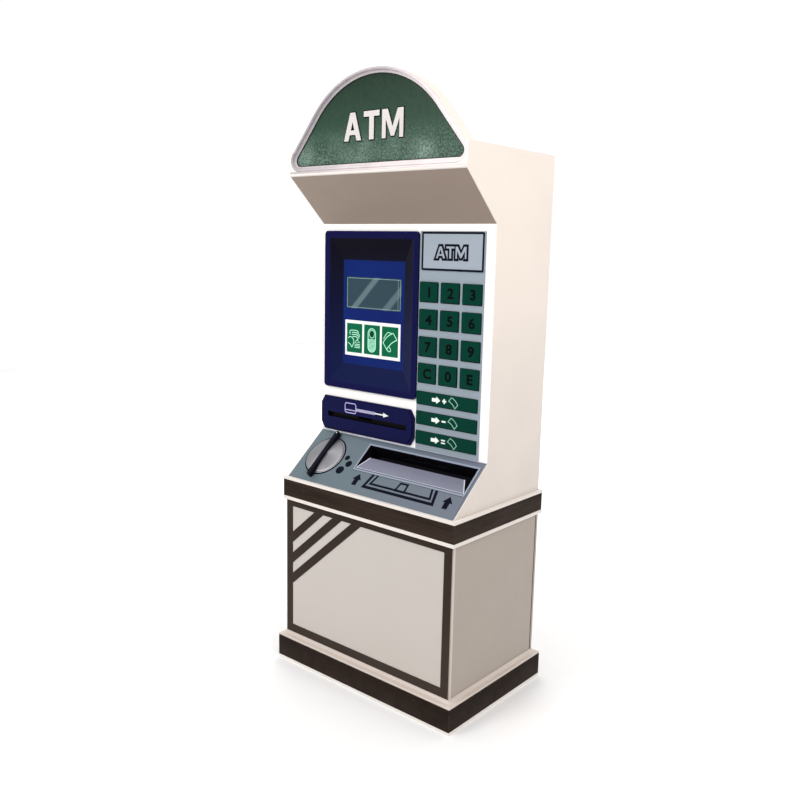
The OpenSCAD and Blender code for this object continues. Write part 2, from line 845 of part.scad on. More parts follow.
// Low dome on a shaft that turns in the console's bush, held by a collar underneath
module knob() {
    color("#c4c6cb") on_slope(knob_x, knob_s, 0) {
        translate([0, 0, touch]) cylinder(r = knob_r, h = knob_rim);
        knob_dome(knob_rim - 1);
        translate([0, 0, -24]) cylinder(r = knob_shaft_r, h = 28);
        translate([0, 0, -22]) cylinder(r = 11, h = 5);
    }
}

bar_w = 18;
bar_h = 9;   // how far the bar stands above the top of the dome
bar_foot = 4; // height of the bar's ends off the console

module knob_bar() {
    color(black) on_slope(knob_x, knob_s, 0) difference() {
        translate([0, 0, bar_foot]) linear_extrude(knob_h + bar_h - bar_foot)
            round_rect(-bar_w / 2, -knob_bar_l / 2, bar_w / 2, knob_bar_l / 2, bar_w / 2 - 0.1);
        knob_dome(0);
    }
}

flap_pin_r = 3;
flap_l = 50;
flap_taper = 27;
flap_t = 3;
flap_pin = [tray_s + 5, -flap_pin_r - 1];
note_slot = [20, 220];
note_n = -31;
roller_s = tray_s + tray_l + tray_wall + 13;
roller_r = 10;
roller_shaft_r = 4;
ear = [[8, 12], [228, 232]];

module cash_tray() {
    w = tray_wall;
    x0 = tray_x;
    x1 = tray_x + tray_w;
    s0 = tray_s;
    s1 = tray_s + tray_l;
    color(black) on_slope() difference() {
        union() {
            slab([x0 - w, s0 - w, -tray_depth - w], [x1 + w, s1 + w, 0]);
            slab([x0 - w - 4, s0 - w - 4, 0], [x1 + w + 4, s1 + w + 4, 1.5]);
            for (e = ear) slab([e[0], s1, note_n - 22], [e[1], roller_s + 8, note_n + 18]);
        }
        slab([x0, s0, -tray_depth], [x1, s1, 5]);
        slab([note_slot[0], s1 - 1, note_n - 6], [note_slot[1], s1 + w + 1, note_n + 6]);
        translate([0, flap_pin[0], flap_pin[1]]) rod_x(x0 - w - 1, x1 + w + 1, flap_pin_r + running);
        for (n = [-1, 1]) translate([0, roller_s, note_n + n * (roller_r + 0.3)])
            rod_x(ear[0][0] - 1, ear[1][1] + 1, roller_shaft_r + running);
    }
}

// A tapering plate on trunnions at its front edge
module cash_flap() {
    x0 = tray_x + 1;
    x1 = tray_x + tray_w - 1;
    color("#9297ab") on_slope(0, flap_pin[0], flap_pin[1]) rotate([-flap_tilt, 0, 0]) {
        rod_x(x0 - tray_wall - 0.5, x1 + tray_wall + 0.5, flap_pin_r);
        translate([0, 0, flap_pin_r + 1 - flap_t]) linear_extrude(flap_t)
            polygon([[x0, -2], [x1, -2], [x1 - flap_taper, flap_l], [x0 + flap_taper, flap_l]]);
        slab([x0 + 4, -1.5, 0], [x1 - 4, 1.5, flap_pin_r]);
    }
}

// Shaft with three rubber sleeves, at n above or below the note path
module roller(n) {
    color(black) on_slope(0, roller_s, note_n + n * (roller_r + 0.3)) {
        rod_x(ear[0][0] - 2, ear[1][1] + 2, roller_shaft_r);
        for (x = [35, 105, 175]) rod_x(x, x + 30, roller_r);
    }
}

module feed_roller() { roller(-1); }
module pinch_roller() { roller(1); }

// ---- electronics and the upper rear door ----

// Computer box with ten vent grooves and a round power inlet in its back
module computer() {
    a = [60, 20, z_trim_high];
    b = a + [270, 160, 330];
    vent_step = 22;
    vent_in = 30;
    vent_z = a[2] + 60;
    inlet_z = a[2] + 36;
    color(steel) difference() {
        slab(a, b);
        for (i = [0 : 9])
            slab([a[0] + vent_in, b[1] - 3, vent_z + i * vent_step],
                 [b[0] - vent_in, b[1] + 1, vent_z + i * vent_step + 8]);
        translate([(a[0] + b[0]) / 2, b[1] + 1, inlet_z]) rotate([90, 0, 0]) cylinder(r = 14, h = 5);
    }
}

latch_x = 330;
latch_z = 1230;
latch_shaft_r = 7;

// Louvred service door: a sheet with folded edges, two rows of slots and a boss for the latch
module rear_door() {
    x0 = upper_hinge_x + 2;
    x1 = inner_half - 2;
    z0 = z_upper + 4;
    z1 = z_roof - sheet - 3;
    fold = 20;
    t = 2;
    slots = 8;
    slot_step = 20;
    slot = [260, 8];
    color(cream) difference() {
        union() {
            slab([x0, y_back - t, z0], [x1, y_back, z1]);
            for (z = upper_hinge_z) door_knuckle(upper_hinge_x, z);
            slab([x0, y_back - fold, z0], [x0 + t, y_back, z1]);
            slab([x1 - t, y_back - fold, z0], [x1, y_back, z1]);
            slab([x0, y_back - fold, z0], [x1, y_back, z0 + t]);
            slab([x0, y_back - fold, z1 - t], [x1, y_back, z1]);
            translate([latch_x, y_back - 10, latch_z]) rotate([-90, 0, 0]) cylinder(r = 13, h = 9);
        }
        for (row = [z0 + 90, z1 - 250], i = [0 : slots - 1])
            upright(y_back - t - 1, t + 2) translate([0, row + i * slot_step])
                round_rect(-slot[0] / 2, 0, slot[0] / 2, slot[1], slot[1] / 2 - 0.1);
        translate([latch_x, y_back - 20, latch_z]) rotate([-90, 0, 0])
            cylinder(r = latch_shaft_r + running, h = 40);
    }
}

// Quarter-turn latch: a grip outside, a shaft through the door and a cam behind the side panel's lip
module rear_latch() {
    cam_y = lip_y - 6;
    color(black) translate([latch_x, 0, latch_z]) {
        translate([0, cam_y, 0]) rotate([-90, 0, 0]) cylinder(r = latch_shaft_r, h = y_back - cam_y + 2);
        translate([0, y_back + touch, 0]) rotate([-90, 0, 0]) cylinder(r = 15, h = 5);
        slab([-5, y_back + 4, -14], [5, y_back + 16, 14]);
        slab([-8, cam_y, -8], [8, cam_y + 4, 31]);
    }
}

base_plate();
plinth_band();
plinth_moulding();
lower_side_left();
lower_side_right();
front_panel();
front_trim();
waist_band();
waist_trims();
deck_plate();
safe_body();
safe_door();
safe_handle();
safe_bolts();
door_hinges();
cash_cassettes();
dispenser();
upper_side_left();
upper_side_right();
roof_panel();
soffit_panel();
fascia_panel();
console_panel();
rear_door();
rear_latch();
sign_box();
sign_rim();
sign_face();
sign_lamps();
screen_bezel();
display_glass();
display_module();
pictogram_panel();
card_bezel();
card_reader();
keypad_panel();
keypad_badge();
keypad_board();
knob();
knob_bar();
cash_tray();
cash_flap();
feed_roller();
pinch_roller();
computer();
number_key(0);  // key_1
number_key(1);  // key_2
number_key(2);  // key_3
number_key(3);  // key_4
number_key(4);  // key_5
number_key(5);  // key_6
number_key(6);  // key_7
number_key(7);  // key_8
number_key(8);  // key_9
number_key(9);  // key_clear
number_key(10);  // key_0
number_key(11);  // key_enter
bar_key(0);  // key_plus
bar_key(1);  // key_minus
bar_key(2);  // key_equals
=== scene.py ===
"""Looks of a free-standing cash machine: paint, mouldings, sign, keys, icons and light round its frame."""

import json
import math

import bmesh
import bpy
from mathutils import Matrix, Vector
from mathutils.geometry import tessellate_polygon

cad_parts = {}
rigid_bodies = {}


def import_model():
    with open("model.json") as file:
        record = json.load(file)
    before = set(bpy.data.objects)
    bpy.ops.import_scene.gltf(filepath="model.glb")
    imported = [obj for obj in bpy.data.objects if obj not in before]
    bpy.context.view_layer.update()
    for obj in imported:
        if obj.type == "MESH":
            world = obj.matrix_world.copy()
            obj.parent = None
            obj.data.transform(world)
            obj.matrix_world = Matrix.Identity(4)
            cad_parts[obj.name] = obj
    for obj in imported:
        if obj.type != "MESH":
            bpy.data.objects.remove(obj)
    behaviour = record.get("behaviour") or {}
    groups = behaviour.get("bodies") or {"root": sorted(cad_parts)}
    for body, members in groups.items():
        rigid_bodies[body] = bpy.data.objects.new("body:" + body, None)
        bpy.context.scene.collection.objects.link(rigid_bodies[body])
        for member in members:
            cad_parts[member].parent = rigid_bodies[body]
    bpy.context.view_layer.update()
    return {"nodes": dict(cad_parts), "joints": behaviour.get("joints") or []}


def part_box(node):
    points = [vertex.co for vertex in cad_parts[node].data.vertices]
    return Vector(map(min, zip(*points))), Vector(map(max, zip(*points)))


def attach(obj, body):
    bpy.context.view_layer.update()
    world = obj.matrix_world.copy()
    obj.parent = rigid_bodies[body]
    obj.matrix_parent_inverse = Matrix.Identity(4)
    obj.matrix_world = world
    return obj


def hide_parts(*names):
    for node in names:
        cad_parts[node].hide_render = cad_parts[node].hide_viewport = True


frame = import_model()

NODES = frame["nodes"]
MM = 0.001

# ---- colours, linear

CREAM = (0.79, 0.715, 0.65)
CREAM_LIGHT = (0.86, 0.82, 0.785)
CREAM_FRONT = (0.50, 0.463, 0.432)
# the cream darkened as painted shade for the lower cabinet's sides
CREAM_SIDE_SHADED = (0.370, 0.318, 0.277)
# the cream darkened to taupe as painted shade for the hood's underside
TAUPE_SHADE = (0.285, 0.222, 0.180)
CREAM_DIRT = (0.50, 0.43, 0.36)
WHITE = (0.88, 0.88, 0.87)
BROWN = (0.037, 0.0245, 0.0175)
BROWN_DEEP = (0.017, 0.0095, 0.0068)
NAVY = (0.0036, 0.0040, 0.042)
NAVY_EDGE = (0.020, 0.027, 0.16)
BLUE = (0.004, 0.020, 0.135)
INK = (0.002, 0.003, 0.009)
KEY_GREEN = (0.0002, 0.036, 0.023)
KEY_GREEN_LIGHT = (0.004, 0.070, 0.050)
KEY_INK = (0.0002, 0.0010, 0.0012)
TILE_GREEN = (0.0015, 0.118, 0.050)
TILE_SHADE = (0.001, 0.050, 0.024)
TILE_LINE = (0.42, 0.86, 0.62)
PANEL_GREY = (0.255, 0.305, 0.350)
PANEL_LILAC = (0.255, 0.280, 0.365)
CONSOLE_TEAL = (0.103, 0.142, 0.165)
CONSOLE_LILAC = (0.127, 0.142, 0.188)
STEEL = (0.46, 0.47, 0.49)
SILVER = (0.31, 0.31, 0.33)
ALUMINIUM = (0.205, 0.215, 0.285)
BLACK = (0.013, 0.014, 0.017)


# ---- material nodes


class Graph:
    """The nodes of one material or world. A material's textures are laid in the row frame's own metres."""

    def __init__(self, name, owner=None, coordinates="Object"):
        self.material = owner or bpy.data.materials.new(name)
        self.material.use_nodes = True
        self.tree = self.material.node_tree
        self.shader = self.tree.nodes.get("Principled BSDF") or self.tree.nodes["Background"]
        self.place = self.node("TexCoord").outputs[coordinates]
        self.x, self.y, self.z = self.node("SeparateXYZ", {0: self.place}).outputs

    def put(self, socket, value):
        """Links a node's output to a socket, or sets the socket's value. Colours are (red, green, blue)."""
        if isinstance(value, bpy.types.NodeSocket):
            self.tree.links.new(value, socket)
        else:
            socket.default_value = (*value, 1) if socket.type == "RGBA" else value

    def node(self, kind, inputs=None, **settings):
        made = self.tree.nodes.new("ShaderNode" + kind)
        for key, value in settings.items():
            setattr(made, key, value)
        for key, value in (inputs or {}).items():
            self.put(made.inputs[key], value)
        return made

    def set(self, **values):
        """Sets the shader's own sockets, such as Base_Color=..., by name."""
        for key, value in values.items():
            self.put(self.shader.inputs[key.replace("_", " ")], value)

    def finish(self, colour, roughness, normal, shine=0.5, **values):
        """Sets the shader's usual sockets and any others by name, and gives the material."""
        self.set(Base_Color=colour, Roughness=roughness, Normal=normal, Specular_IOR_Level=shine, **values)
        return self.material

    def stretched(self, scale):
        return self.node("VectorMath", {0: self.place, 1: scale}, operation="MULTIPLY").outputs[0]

    def noise(self, scale, detail=3.0, roughness=0.55, stretch=None):
        place = self.stretched(stretch) if stretch else self.place
        inputs = {"Vector": place, "Scale": scale, "Detail": detail, "Roughness": roughness}
        return self.node("TexNoise", inputs).outputs["Fac"]

    def level(self, value, low, high, to_low=0.0, to_high=1.0):
        """A value spread from low..high to another range, and held at the range's ends."""
        inputs = {0: value, 1: low, 2: high, 3: to_low, 4: to_high}
        return self.node("MapRange", inputs).outputs[0]

    def uneven(self, low, high, *noise):
        """A value that wanders between low and high."""
        return self.level(self.noise(*noise), 0.3, 0.7, low, high)

    def maths(self, operation, a, b=0.0):
        return self.node("Math", {0: a, 1: b}, operation=operation).outputs[0]

    def times(self, a, b):
        return self.maths("MULTIPLY", a, b)

    def plus(self, a, b):
        return self.maths("ADD", a, b)

    def mix(self, share, a, b):
        """Colour a where share is 0 and b where it is 1."""
        return self.node("Mix", {0: share, 6: a, 7: b}, data_type="RGBA").outputs[2]

    def bump(self, height, depth, strength, after=None):
        inputs = {"Height": height, "Distance": depth, "Strength": strength}
        if after:
            inputs["Normal"] = after
        return self.node("Bump", inputs).outputs[0]

    def grain(self, scale, depth, strength):
        """A fine even texture."""
        return self.bump(self.noise(scale, 2), depth, strength)

    def edges(self, radius):
        """1 on sharp edges and 0 on flat faces."""
        rounded = self.node("Bevel", {"Radius": radius}, samples=4).outputs[0]
        plain = self.node("NewGeometry").outputs["Normal"]
        dot = self.node("VectorMath", {0: rounded, 1: plain}, operation="DOT_PRODUCT").outputs["Value"]
        return self.level(dot, 0.97, 0.80)

    def band(self, value, centre, half, soft):
        """1 where value is within half of centre, fading over soft."""
        away = self.maths("ABSOLUTE", self.maths("SUBTRACT", value, centre))
        return self.level(away, half + soft, half)


def paint(name, colour, dirt, roughness=0.40, low=0.0, high=0.45, wear=0.5, shine=0.4, dust=0.3):
    """Sprayed paint: slight orange peel, cloudy tone, darkening from high down to low, and rubbed edges; the
    darkening is dust near the floor, and painted shade where it spans a whole panel.
    """
    g = Graph(name)
    cloud = g.level(g.noise(2.2, 4), 0.35, 0.75, 0.0, 0.14)
    # dust towards the floor, and painted shade where low and high span a whole panel, as on cream_upper
    dust_and_falloff_shade = g.times(g.level(g.z, high, low, 0.0, dust), g.level(g.noise(5, 4), 0.25, 0.75, 0.35, 0.65))
    specks = g.level(g.noise(420, 2), 0.72, 0.80, 0.0, 0.16)
    rubbed = g.times(g.edges(0.0022), g.level(g.noise(60, 4), 0.42, 0.62, 0.0, wear))
    soiled = g.plus(g.plus(cloud, dust_and_falloff_shade), g.plus(specks, rubbed))
    tone = g.mix(g.maths("MINIMUM", soiled, 0.75), colour, dirt)
    peel = g.bump(g.noise(7, 2), 0.0006, 0.25, g.grain(520, 0.00012, 0.35))
    return g.finish(tone, g.uneven(roughness - 0.06, roughness + 0.08, 18, 4), peel, shine)


def soffit_paint():
    """Taupe on the sloping underside of the hood as painted shade, the hood's cream darkened where it faces
    down, and the hood's cream on its upright front.
    """
    g = Graph("taupe_paint")
    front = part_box("soffit_panel")[0].y
    # painted shade: the down-facing underside is darkened to taupe
    under = g.mix(g.uneven(0.0, 0.4, 3, 4), TAUPE_SHADE, (0.25, 0.195, 0.165))
    tone = g.mix(g.level(g.y, front + 0.8 * MM, front + 2.4 * MM), CREAM_LIGHT, under)
    return g.finish(tone, g.uneven(0.46, 0.60, 18, 4), g.grain(520, 0.00012, 0.35), 0.3)


def lacquer(name, colour, deep, shine, dust=0.35):
    """Dark stained timber: long fine grain under a satin lacquer, scuffed at its edges."""
    g = Graph(name)
    grain = g.noise(6, 8, 0.65, (1.2, 1.2, 60))
    figure = g.noise(1.4, 3, 0.5, (1, 1, 9))
    tone = g.mix(g.level(g.times(grain, figure), 0.16, 0.36), colour, deep)
    worn = g.times(g.edges(0.004), g.level(g.noise(45, 5), 0.42, 0.62, 0.0, 0.65))
    places = g.level(g.noise(3, 2), 0.5, 0.6, 0.0, 0.12)
    kicks = g.times(g.level(g.noise(26, 3, 0.5, (1, 1, 7)), 0.66, 0.74), places)
    dusty = g.times(g.level(g.z, 0.10, 0.0, 0.0, dust), g.noise(24, 5))
    soiled = g.mix(g.plus(g.plus(worn, kicks), dusty), tone, (0.21, 0.17, 0.14))
    return g.finish(soiled, g.uneven(0.34, 0.50, 30, 4), g.bump(grain, 0.0003, 0.35), shine)


def moulded(name, colour, edge=None, roughness=0.32, grain=900, depth=0.00006, shine=0.2):
    """Moulded plastic: fine texture, slightly paler at its edges, with handling marks in the gloss."""
    g = Graph(name)
    shade = g.mix(g.uneven(0.0, 0.35, 4, 3), colour, tuple(0.72 * c for c in colour))
    pale = edge or tuple(min(1, 1.9 * c + 0.01) for c in colour)
    marks = g.times(g.noise(25, 5, 0.7), g.noise(3, 2))
    gloss = g.level(marks, 0.12, 0.45, roughness - 0.07, roughness + 0.12)
    worn = g.mix(g.times(g.edges(0.0018), 0.45), shade, pale)
    return g.finish(worn, gloss, g.grain(grain, depth, 0.4), shine)


def ink_print(name, colour, roughness=0.5):
    """Screen-printed ink: nearly matt, a little uneven in tone."""
    return moulded(name, colour, colour, roughness, 600, 0.00004, shine=0.05)


def metal(name, colour, along=(1, 40, 40), roughness=0.34, metallic=1.0):
    """Brushed metal, its scratches running along the axis whose stretch is smallest."""
    g = Graph(name)
    scratches = g.noise(14, 6, 0.7, along)
    tone = g.mix(g.level(g.noise(5, 4), 0.4, 0.8, 0.0, 0.35), colour, tuple(0.6 * c for c in colour))
    gloss = g.level(scratches, 0.3, 0.7, roughness - 0.08, roughness + 0.12)
    return g.finish(tone, gloss, g.bump(scratches, 0.00012, 0.5), Metallic=metallic)


def screen_plastic():
    """The screen's surround: navy rim, a funnel painted darker towards its top as painted shade on its
    down-facing wall, and a bluer inner plate.
    """
    g = Graph("screen_plastic")
    low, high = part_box("screen_bezel")
    plate_depth, rim_w = 24 * MM, 60 * MM
    plate_y = low.y + plate_depth
    on_plate = g.level(g.y, plate_y - 1.5 * MM, plate_y - 0.3 * MM)
    in_funnel = g.level(g.y, low.y + 1.0 * MM, low.y + 3.0 * MM)
    # painted shade: the funnel's walls darken towards the top, where they face down
    rise = g.level(g.z, low.z + rim_w, high.z - rim_w)
    tone = g.uneven(0, 1, 3, 3)
    funnel_shade = g.mix(rise, (0.005, 0.009, 0.050), (0.0025, 0.0020, 0.007))
    rim = g.mix(tone, NAVY, (0.005, 0.005, 0.050))
    plate = g.mix(tone, BLUE, (0.005, 0.012, 0.105))
    body = g.mix(on_plate, g.mix(in_funnel, rim, funnel_shade), plate)
    worn = g.mix(g.times(g.edges(0.0022), 0.55), body, NAVY_EDGE)
    return g.finish(worn, g.uneven(0.30, 0.40, 9, 3), g.grain(800, 0.00004, 0.3), 0.05)


def card_plastic():
    """The card slot's surround: navy, painted near-black as painted shade in the depth of its slot."""
    g = Graph("card_plastic")
    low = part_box("card_bezel")[0]
    slot_x, slot_z, half_w, half_h, soft = -144 * MM, 891 * MM, 184.5 * MM, 9.5 * MM, 1 * MM
    opening = g.times(g.band(g.x, slot_x, half_w, soft), g.band(g.z, slot_z, half_h, soft))
    # painted shade in the depth of the slot
    slot_shade = g.times(g.level(g.y, low.y + 1.5 * MM, low.y + 5 * MM), opening)
    tone = g.mix(g.level(g.noise(5, 3, 0.5, (1, 1, 6)), 0.35, 0.65), NAVY, (0.0030, 0.0042, 0.047))
    worn = g.mix(g.times(g.edges(0.002), 0.5), tone, NAVY_EDGE)
    gloss = g.uneven(0.28, 0.42, 14, 4, 0.5, (1, 1, 5))
    return g.finish(g.mix(slot_shade, worn, (0.0035, 0.003, 0.004)), gloss, g.grain(800, 0.00004, 0.3), 0.07)


def display_surface():
    """Grey-green display behind glass, with two soft slanting bands of painted reflection across it."""
    g = Graph("display_surface")
    low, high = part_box("display_glass")
    down_right = g.plus(g.maths("SUBTRACT", g.x, low.x), g.maths("SUBTRACT", high.z, g.z))
    # painted reflection: two pale diagonal bands fixed on the glass
    first = g.band(down_right, 0.142, 0.009, 0.010)
    second = g.times(g.band(down_right, 0.288, 0.011, 0.010), 0.8)
    painted_reflection = g.times(g.maths("MAXIMUM", first, second), 0.38)
    rows = g.level(g.noise(3, 2, 0.5, (1, 1, 500)), 0.4, 0.6, 0.0, 0.16)
    base = g.mix(rows, (0.024, 0.052, 0.070), (0.017, 0.039, 0.054))
    g.set(Base_Color=g.mix(painted_reflection, base, (0.22, 0.33, 0.35)), Specular_IOR_Level=0.2)
    g.set(Roughness=g.uneven(0.14, 0.26, 20, 4))
    return g.material


def sign_acrylic():
    """Back-printed green acrylic: darker at the crown, with pale clouds and sparkle towards its foot."""
    g = Graph("sign_acrylic")
    low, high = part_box("sign_face")
    rise = g.level(g.z, low.z, high.z)
    tone = g.mix(g.level(rise, 0.95, 0.35), (0.010, 0.027, 0.015), (0.025, 0.060, 0.039))
    cloud = g.level(g.noise(5, 3, 0.5), 0.44, 0.62)
    grain = g.level(g.noise(150, 2, 0.6), 0.38, 0.62)
    fade = g.level(rise, 0.42, 0.10)
    pale = g.times(g.times(cloud, fade), g.level(grain, 0.0, 1.0, 0.2, 1.0))
    sparkle = g.times(g.times(grain, grain), g.level(rise, 0.48, 0.12, 0.0, 0.42))
    lit = g.mix(g.maths("MAXIMUM", pale, sparkle), tone, (0.25, 0.34, 0.29))
    return g.finish(lit, g.uneven(0.22, 0.42, 60, 5, 0.7), g.bump(g.noise(150, 3), 0.0002, 0.3), 0.15)


def rim_paint():
    """Pale lilac grey in the sign rim's reveal, with painted shade: greyer towards the upper left, where the
    rim faces away from the light, and paler and rosy towards the right and foot.
    """
    g = Graph("rim_paint")
    low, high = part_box("sign_rim")
    # painted shade: darker towards the upper left, lighter towards the right and foot
    across = g.level(g.x, low.x, high.x, 0.0, 0.9)
    down = g.level(g.z, high.z, low.z, 0.0, 0.35)
    share = g.plus(g.plus(across, down), g.uneven(-0.12, 0.12, 8, 4))
    tone = g.mix(share, (0.19, 0.175, 0.205), (0.76, 0.68, 0.685))
    return g.finish(tone, g.uneven(0.36, 0.50, 20, 4), g.grain(500, 0.0001, 0.3), 0.3)


def console_enamel():
    """Blue-grey enamel on the console, turning from teal to lilac across its width."""
    g = Graph("console_enamel")
    low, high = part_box("console_panel")
    across = g.plus(g.level(g.x, low.x, high.x), g.uneven(-0.25, 0.25, 4, 3))
    tone = g.mix(g.level(across, 0.25, 1.0), CONSOLE_TEAL, CONSOLE_LILAC)
    worn = g.times(g.edges(0.002), g.level(g.noise(70, 4), 0.4, 0.6, 0.0, 0.5))
    scuffs = g.level(g.noise(16, 8, 0.75, (1, 7, 7)), 0.62, 0.74, 0.0, 0.22)
    marked = g.mix(g.plus(worn, scuffs), tone, (0.38, 0.42, 0.46))
    return g.finish(marked, g.uneven(0.36, 0.52, 14, 5), g.grain(600, 0.00012, 0.35), 0.3)


def spun_metal():
    """Spun metal dome: rings round its own axis, so light gathers in two opposite fans."""
    g = Graph("spun_metal")
    tone = g.mix(g.level(g.noise(30, 4), 0.3, 0.8, 0.0, 0.35), SILVER, (0.22, 0.22, 0.25))
    radius = g.node("VectorMath", {0: g.stretched((1, 1, 0))}, operation="LENGTH").outputs["Value"]
    fine = {"W": radius, "Scale": 900.0, "Detail": 4.0}
    rings = g.node("TexNoise", fine, noise_dimensions="1D").outputs["Fac"]
    round_axis = g.node("Tangent", direction_type="RADIAL", axis="Z").outputs[0]
    return g.finish(tone, g.level(rings, 0.3, 0.7, 0.38, 0.52), g.bump(rings, 0.00005, 0.4),
                    Metallic=1.0, Anisotropic=0.6, Tangent=round_axis)


def board_green():
    """Circuit board: a brick grid of paler tracks."""
    g = Graph("board_green")
    tracks = g.node("TexBrick", {"Vector": g.stretched((160, 160, 160)), "Scale": 1.0}).outputs["Fac"]
    return g.finish(g.mix(tracks, (0.015, 0.10, 0.045), (0.03, 0.20, 0.09)), 0.45, g.grain(300, 0.0002, 0.4))


def lamp_glass():
    """Milky lamp tubes, a little uneven in tone and gloss."""
    g = Graph("lamp_glass")
    g.set(Base_Color=g.mix(g.noise(12, 3), (0.86, 0.88, 0.86), (0.74, 0.77, 0.76)))
    g.set(Roughness=g.uneven(0.18, 0.34, 60, 4), Coat_Weight=0.5)
    return g.material


# ---- materials

cream = paint("cream_paint", CREAM, CREAM_DIRT)
taupe_shaded = soffit_paint()
rim_lilac_shaded = rim_paint()
sign_white = moulded("sign_white", (0.60, 0.56, 0.55), roughness=0.45)
cream_light = paint("cream_trim", CREAM_LIGHT, CREAM_DIRT, 0.36, wear=0.35)
cream_waist = paint("cream_waist", (0.72, 0.67, 0.63), CREAM_DIRT, 0.36)
# painted shade: the upper sides darken from 1.30 m down to 0.60 m, as the light falls off downwards
cream_upper = paint("cream_upper", CREAM, (0.52, 0.48, 0.46), low=0.60, high=1.30, dust=1.1)
cream_plinth = paint("cream_plinth", (0.60, 0.53, 0.48), (0.40, 0.34, 0.30), 0.36)
cream_front = paint("cream_front", CREAM_FRONT, CREAM_DIRT)
# painted shade: a darker copy of the cream for the lower sides
cream_side = paint("cream_side", CREAM_SIDE_SHADED, (0.36, 0.31, 0.26))
fascia_white = paint("fascia_white", (0.93, 0.92, 0.91), CREAM_DIRT, 0.36, wear=0.35)
brown = lacquer("brown_lacquer", BROWN, BROWN_DEEP, 0.05)
brown_dark = lacquer("brown_lacquer_dark", BROWN_DEEP, (0.009, 0.0055, 0.004), 0.03, 0.16)
brown_paint = paint("brown_paint", (0.027, 0.0175, 0.013), (0.10, 0.072, 0.06), 0.42, wear=0.4, shine=0.07)
white_plastic = moulded("white_plastic", WHITE, roughness=0.36)
navy = screen_plastic()
navy_bezel = card_plastic()
green_key = moulded("green_key", KEY_GREEN, KEY_GREEN_LIGHT, 0.34, 700, shine=0.05)
key_ink = ink_print("key_ink", KEY_INK)
key_line = ink_print("key_line", (0.25, 0.48, 0.38))
white_ink = ink_print("white_ink", (0.80, 0.84, 0.80))
ink = ink_print("dark_ink", INK)
tile_green = moulded("tile_green", TILE_GREEN, roughness=0.30, shine=0.08)
tile_shade = ink_print("tile_shade", TILE_SHADE)
tile_line = ink_print("tile_line", TILE_LINE)
lilac_ink = ink_print("lilac_ink", (0.50, 0.45, 0.80))
lilac_grey = moulded("lilac_grey", (0.36, 0.34, 0.50), roughness=0.42)
display_edge = moulded("display_edge", (0.20, 0.30, 0.31), roughness=0.25)
panel_paint = paint("panel_paint", PANEL_GREY, PANEL_LILAC, 0.38, wear=0.3, shine=0.25)
badge_paint = paint("badge_paint", (0.300, 0.345, 0.400), PANEL_LILAC, 0.34, wear=0.3, shine=0.25)
console = console_enamel()
bead_lilac = moulded("bead_lilac", (0.55, 0.56, 0.66), roughness=0.35)
tray_rim = moulded("tray_rim", (0.24, 0.28, 0.36), (0.55, 0.60, 0.70), 0.34)
steel = metal("brushed_steel", STEEL)
steel_upright = metal("brushed_steel_upright", STEEL, (40, 40, 1))
anodised = metal("anodised_flap", ALUMINIUM, (1, 60, 60), 0.46, 0.35)
black_plastic = moulded("black_plastic", BLACK, (0.05, 0.05, 0.055), 0.40, 500, 0.0002)
black_gloss = moulded("black_gloss", INK, (0.06, 0.07, 0.08), 0.46, depth=0.00001, shine=0.08)
tray_black = paint("tray_black", (0.004, 0.003, 0.006), (0.02, 0.02, 0.022), 0.5, shine=0.06)
grey_plastic = moulded("grey_plastic", (0.20, 0.21, 0.22), roughness=0.42, grain=500, depth=0.0002)
rubber = moulded("rubber", (0.018, 0.018, 0.018), (0.05, 0.05, 0.05), 0.68, 400, 0.0003)

# ---- pieces


def add_object(name, data):
    """A new object in the scene."""
    made = bpy.data.objects.new(name, data)
    bpy.context.scene.collection.objects.link(made)
    return made


def finish_piece(name, mesh, material, body="root", smooth=32):
    """Makes a piece of a mesh that is already in the row frame, and hangs it on its body."""
    mesh.validate()
    mesh.shade_smooth()
    mesh.set_sharp_from_angle(angle=math.radians(smooth))
    mesh.materials.clear()
    mesh.materials.append(material)
    piece = add_object(name, mesh)
    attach(piece, body)
    return piece


def piece_of(built, name, material, body="root", smooth=32):
    """Makes a piece of faces that were built in the row frame."""
    mesh = bpy.data.meshes.new(name)
    built.to_mesh(mesh)
    built.free()
    return finish_piece(name, mesh, material, body, smooth)


def soften(piece, width, segments=2):
    """Rounds a piece's sharp edges."""
    bevel = piece.modifiers.new("round_edges", "BEVEL")
    bevel.width = width
    bevel.segments = segments
    bevel.limit_method = "ANGLE"
    bevel.angle_limit = math.radians(32)
    bevel.harden_normals = True
    return piece


def dress(node, material, width):
    """Gives a CAD node its material and rounds its edges, without touching its mesh."""
    piece = NODES[node]
    piece.data.materials.clear()
    piece.data.materials.append(material)
    if width:
        weld = piece.modifiers.new("weld", "WELD")
        weld.merge_threshold = 0.01 * MM
        flat = piece.modifiers.new("flat_faces", "DECIMATE")
        flat.decimate_type = "DISSOLVE"
        flat.angle_limit = math.radians(0.3)
        soften(piece, width)


def body_of(node):
    """The body that a CAD node rides on."""
    return NODES[node].parent.name.split(":")[1]


def joint_place(name):
    """The point that a joint turns or slides about, at rest."""
    return next(Vector(joint["pos_m"]) for joint in frame["joints"] if joint["name"] == name)


def facing(way, x, y, z):
    """Local Z looks along a level direction, local Y is up, and the origin is at x, y, z."""
    out, up = Vector(way), Vector((0, 0, 1))
    return Matrix.Translation((x, y, z)) @ Matrix((up.cross(out), up, out)).transposed().to_4x4()


def facing_front(x, y, z):
    """Local X is the row's +X, local Y its +Z, and local Z looks out at the user."""
    return facing((0, -1, 0), x, y, z)


def centre_of(low, high):
    """The middle of a box seen from the front, as x and z."""
    return (low.x + high.x) / 2, (low.z + high.z) / 2


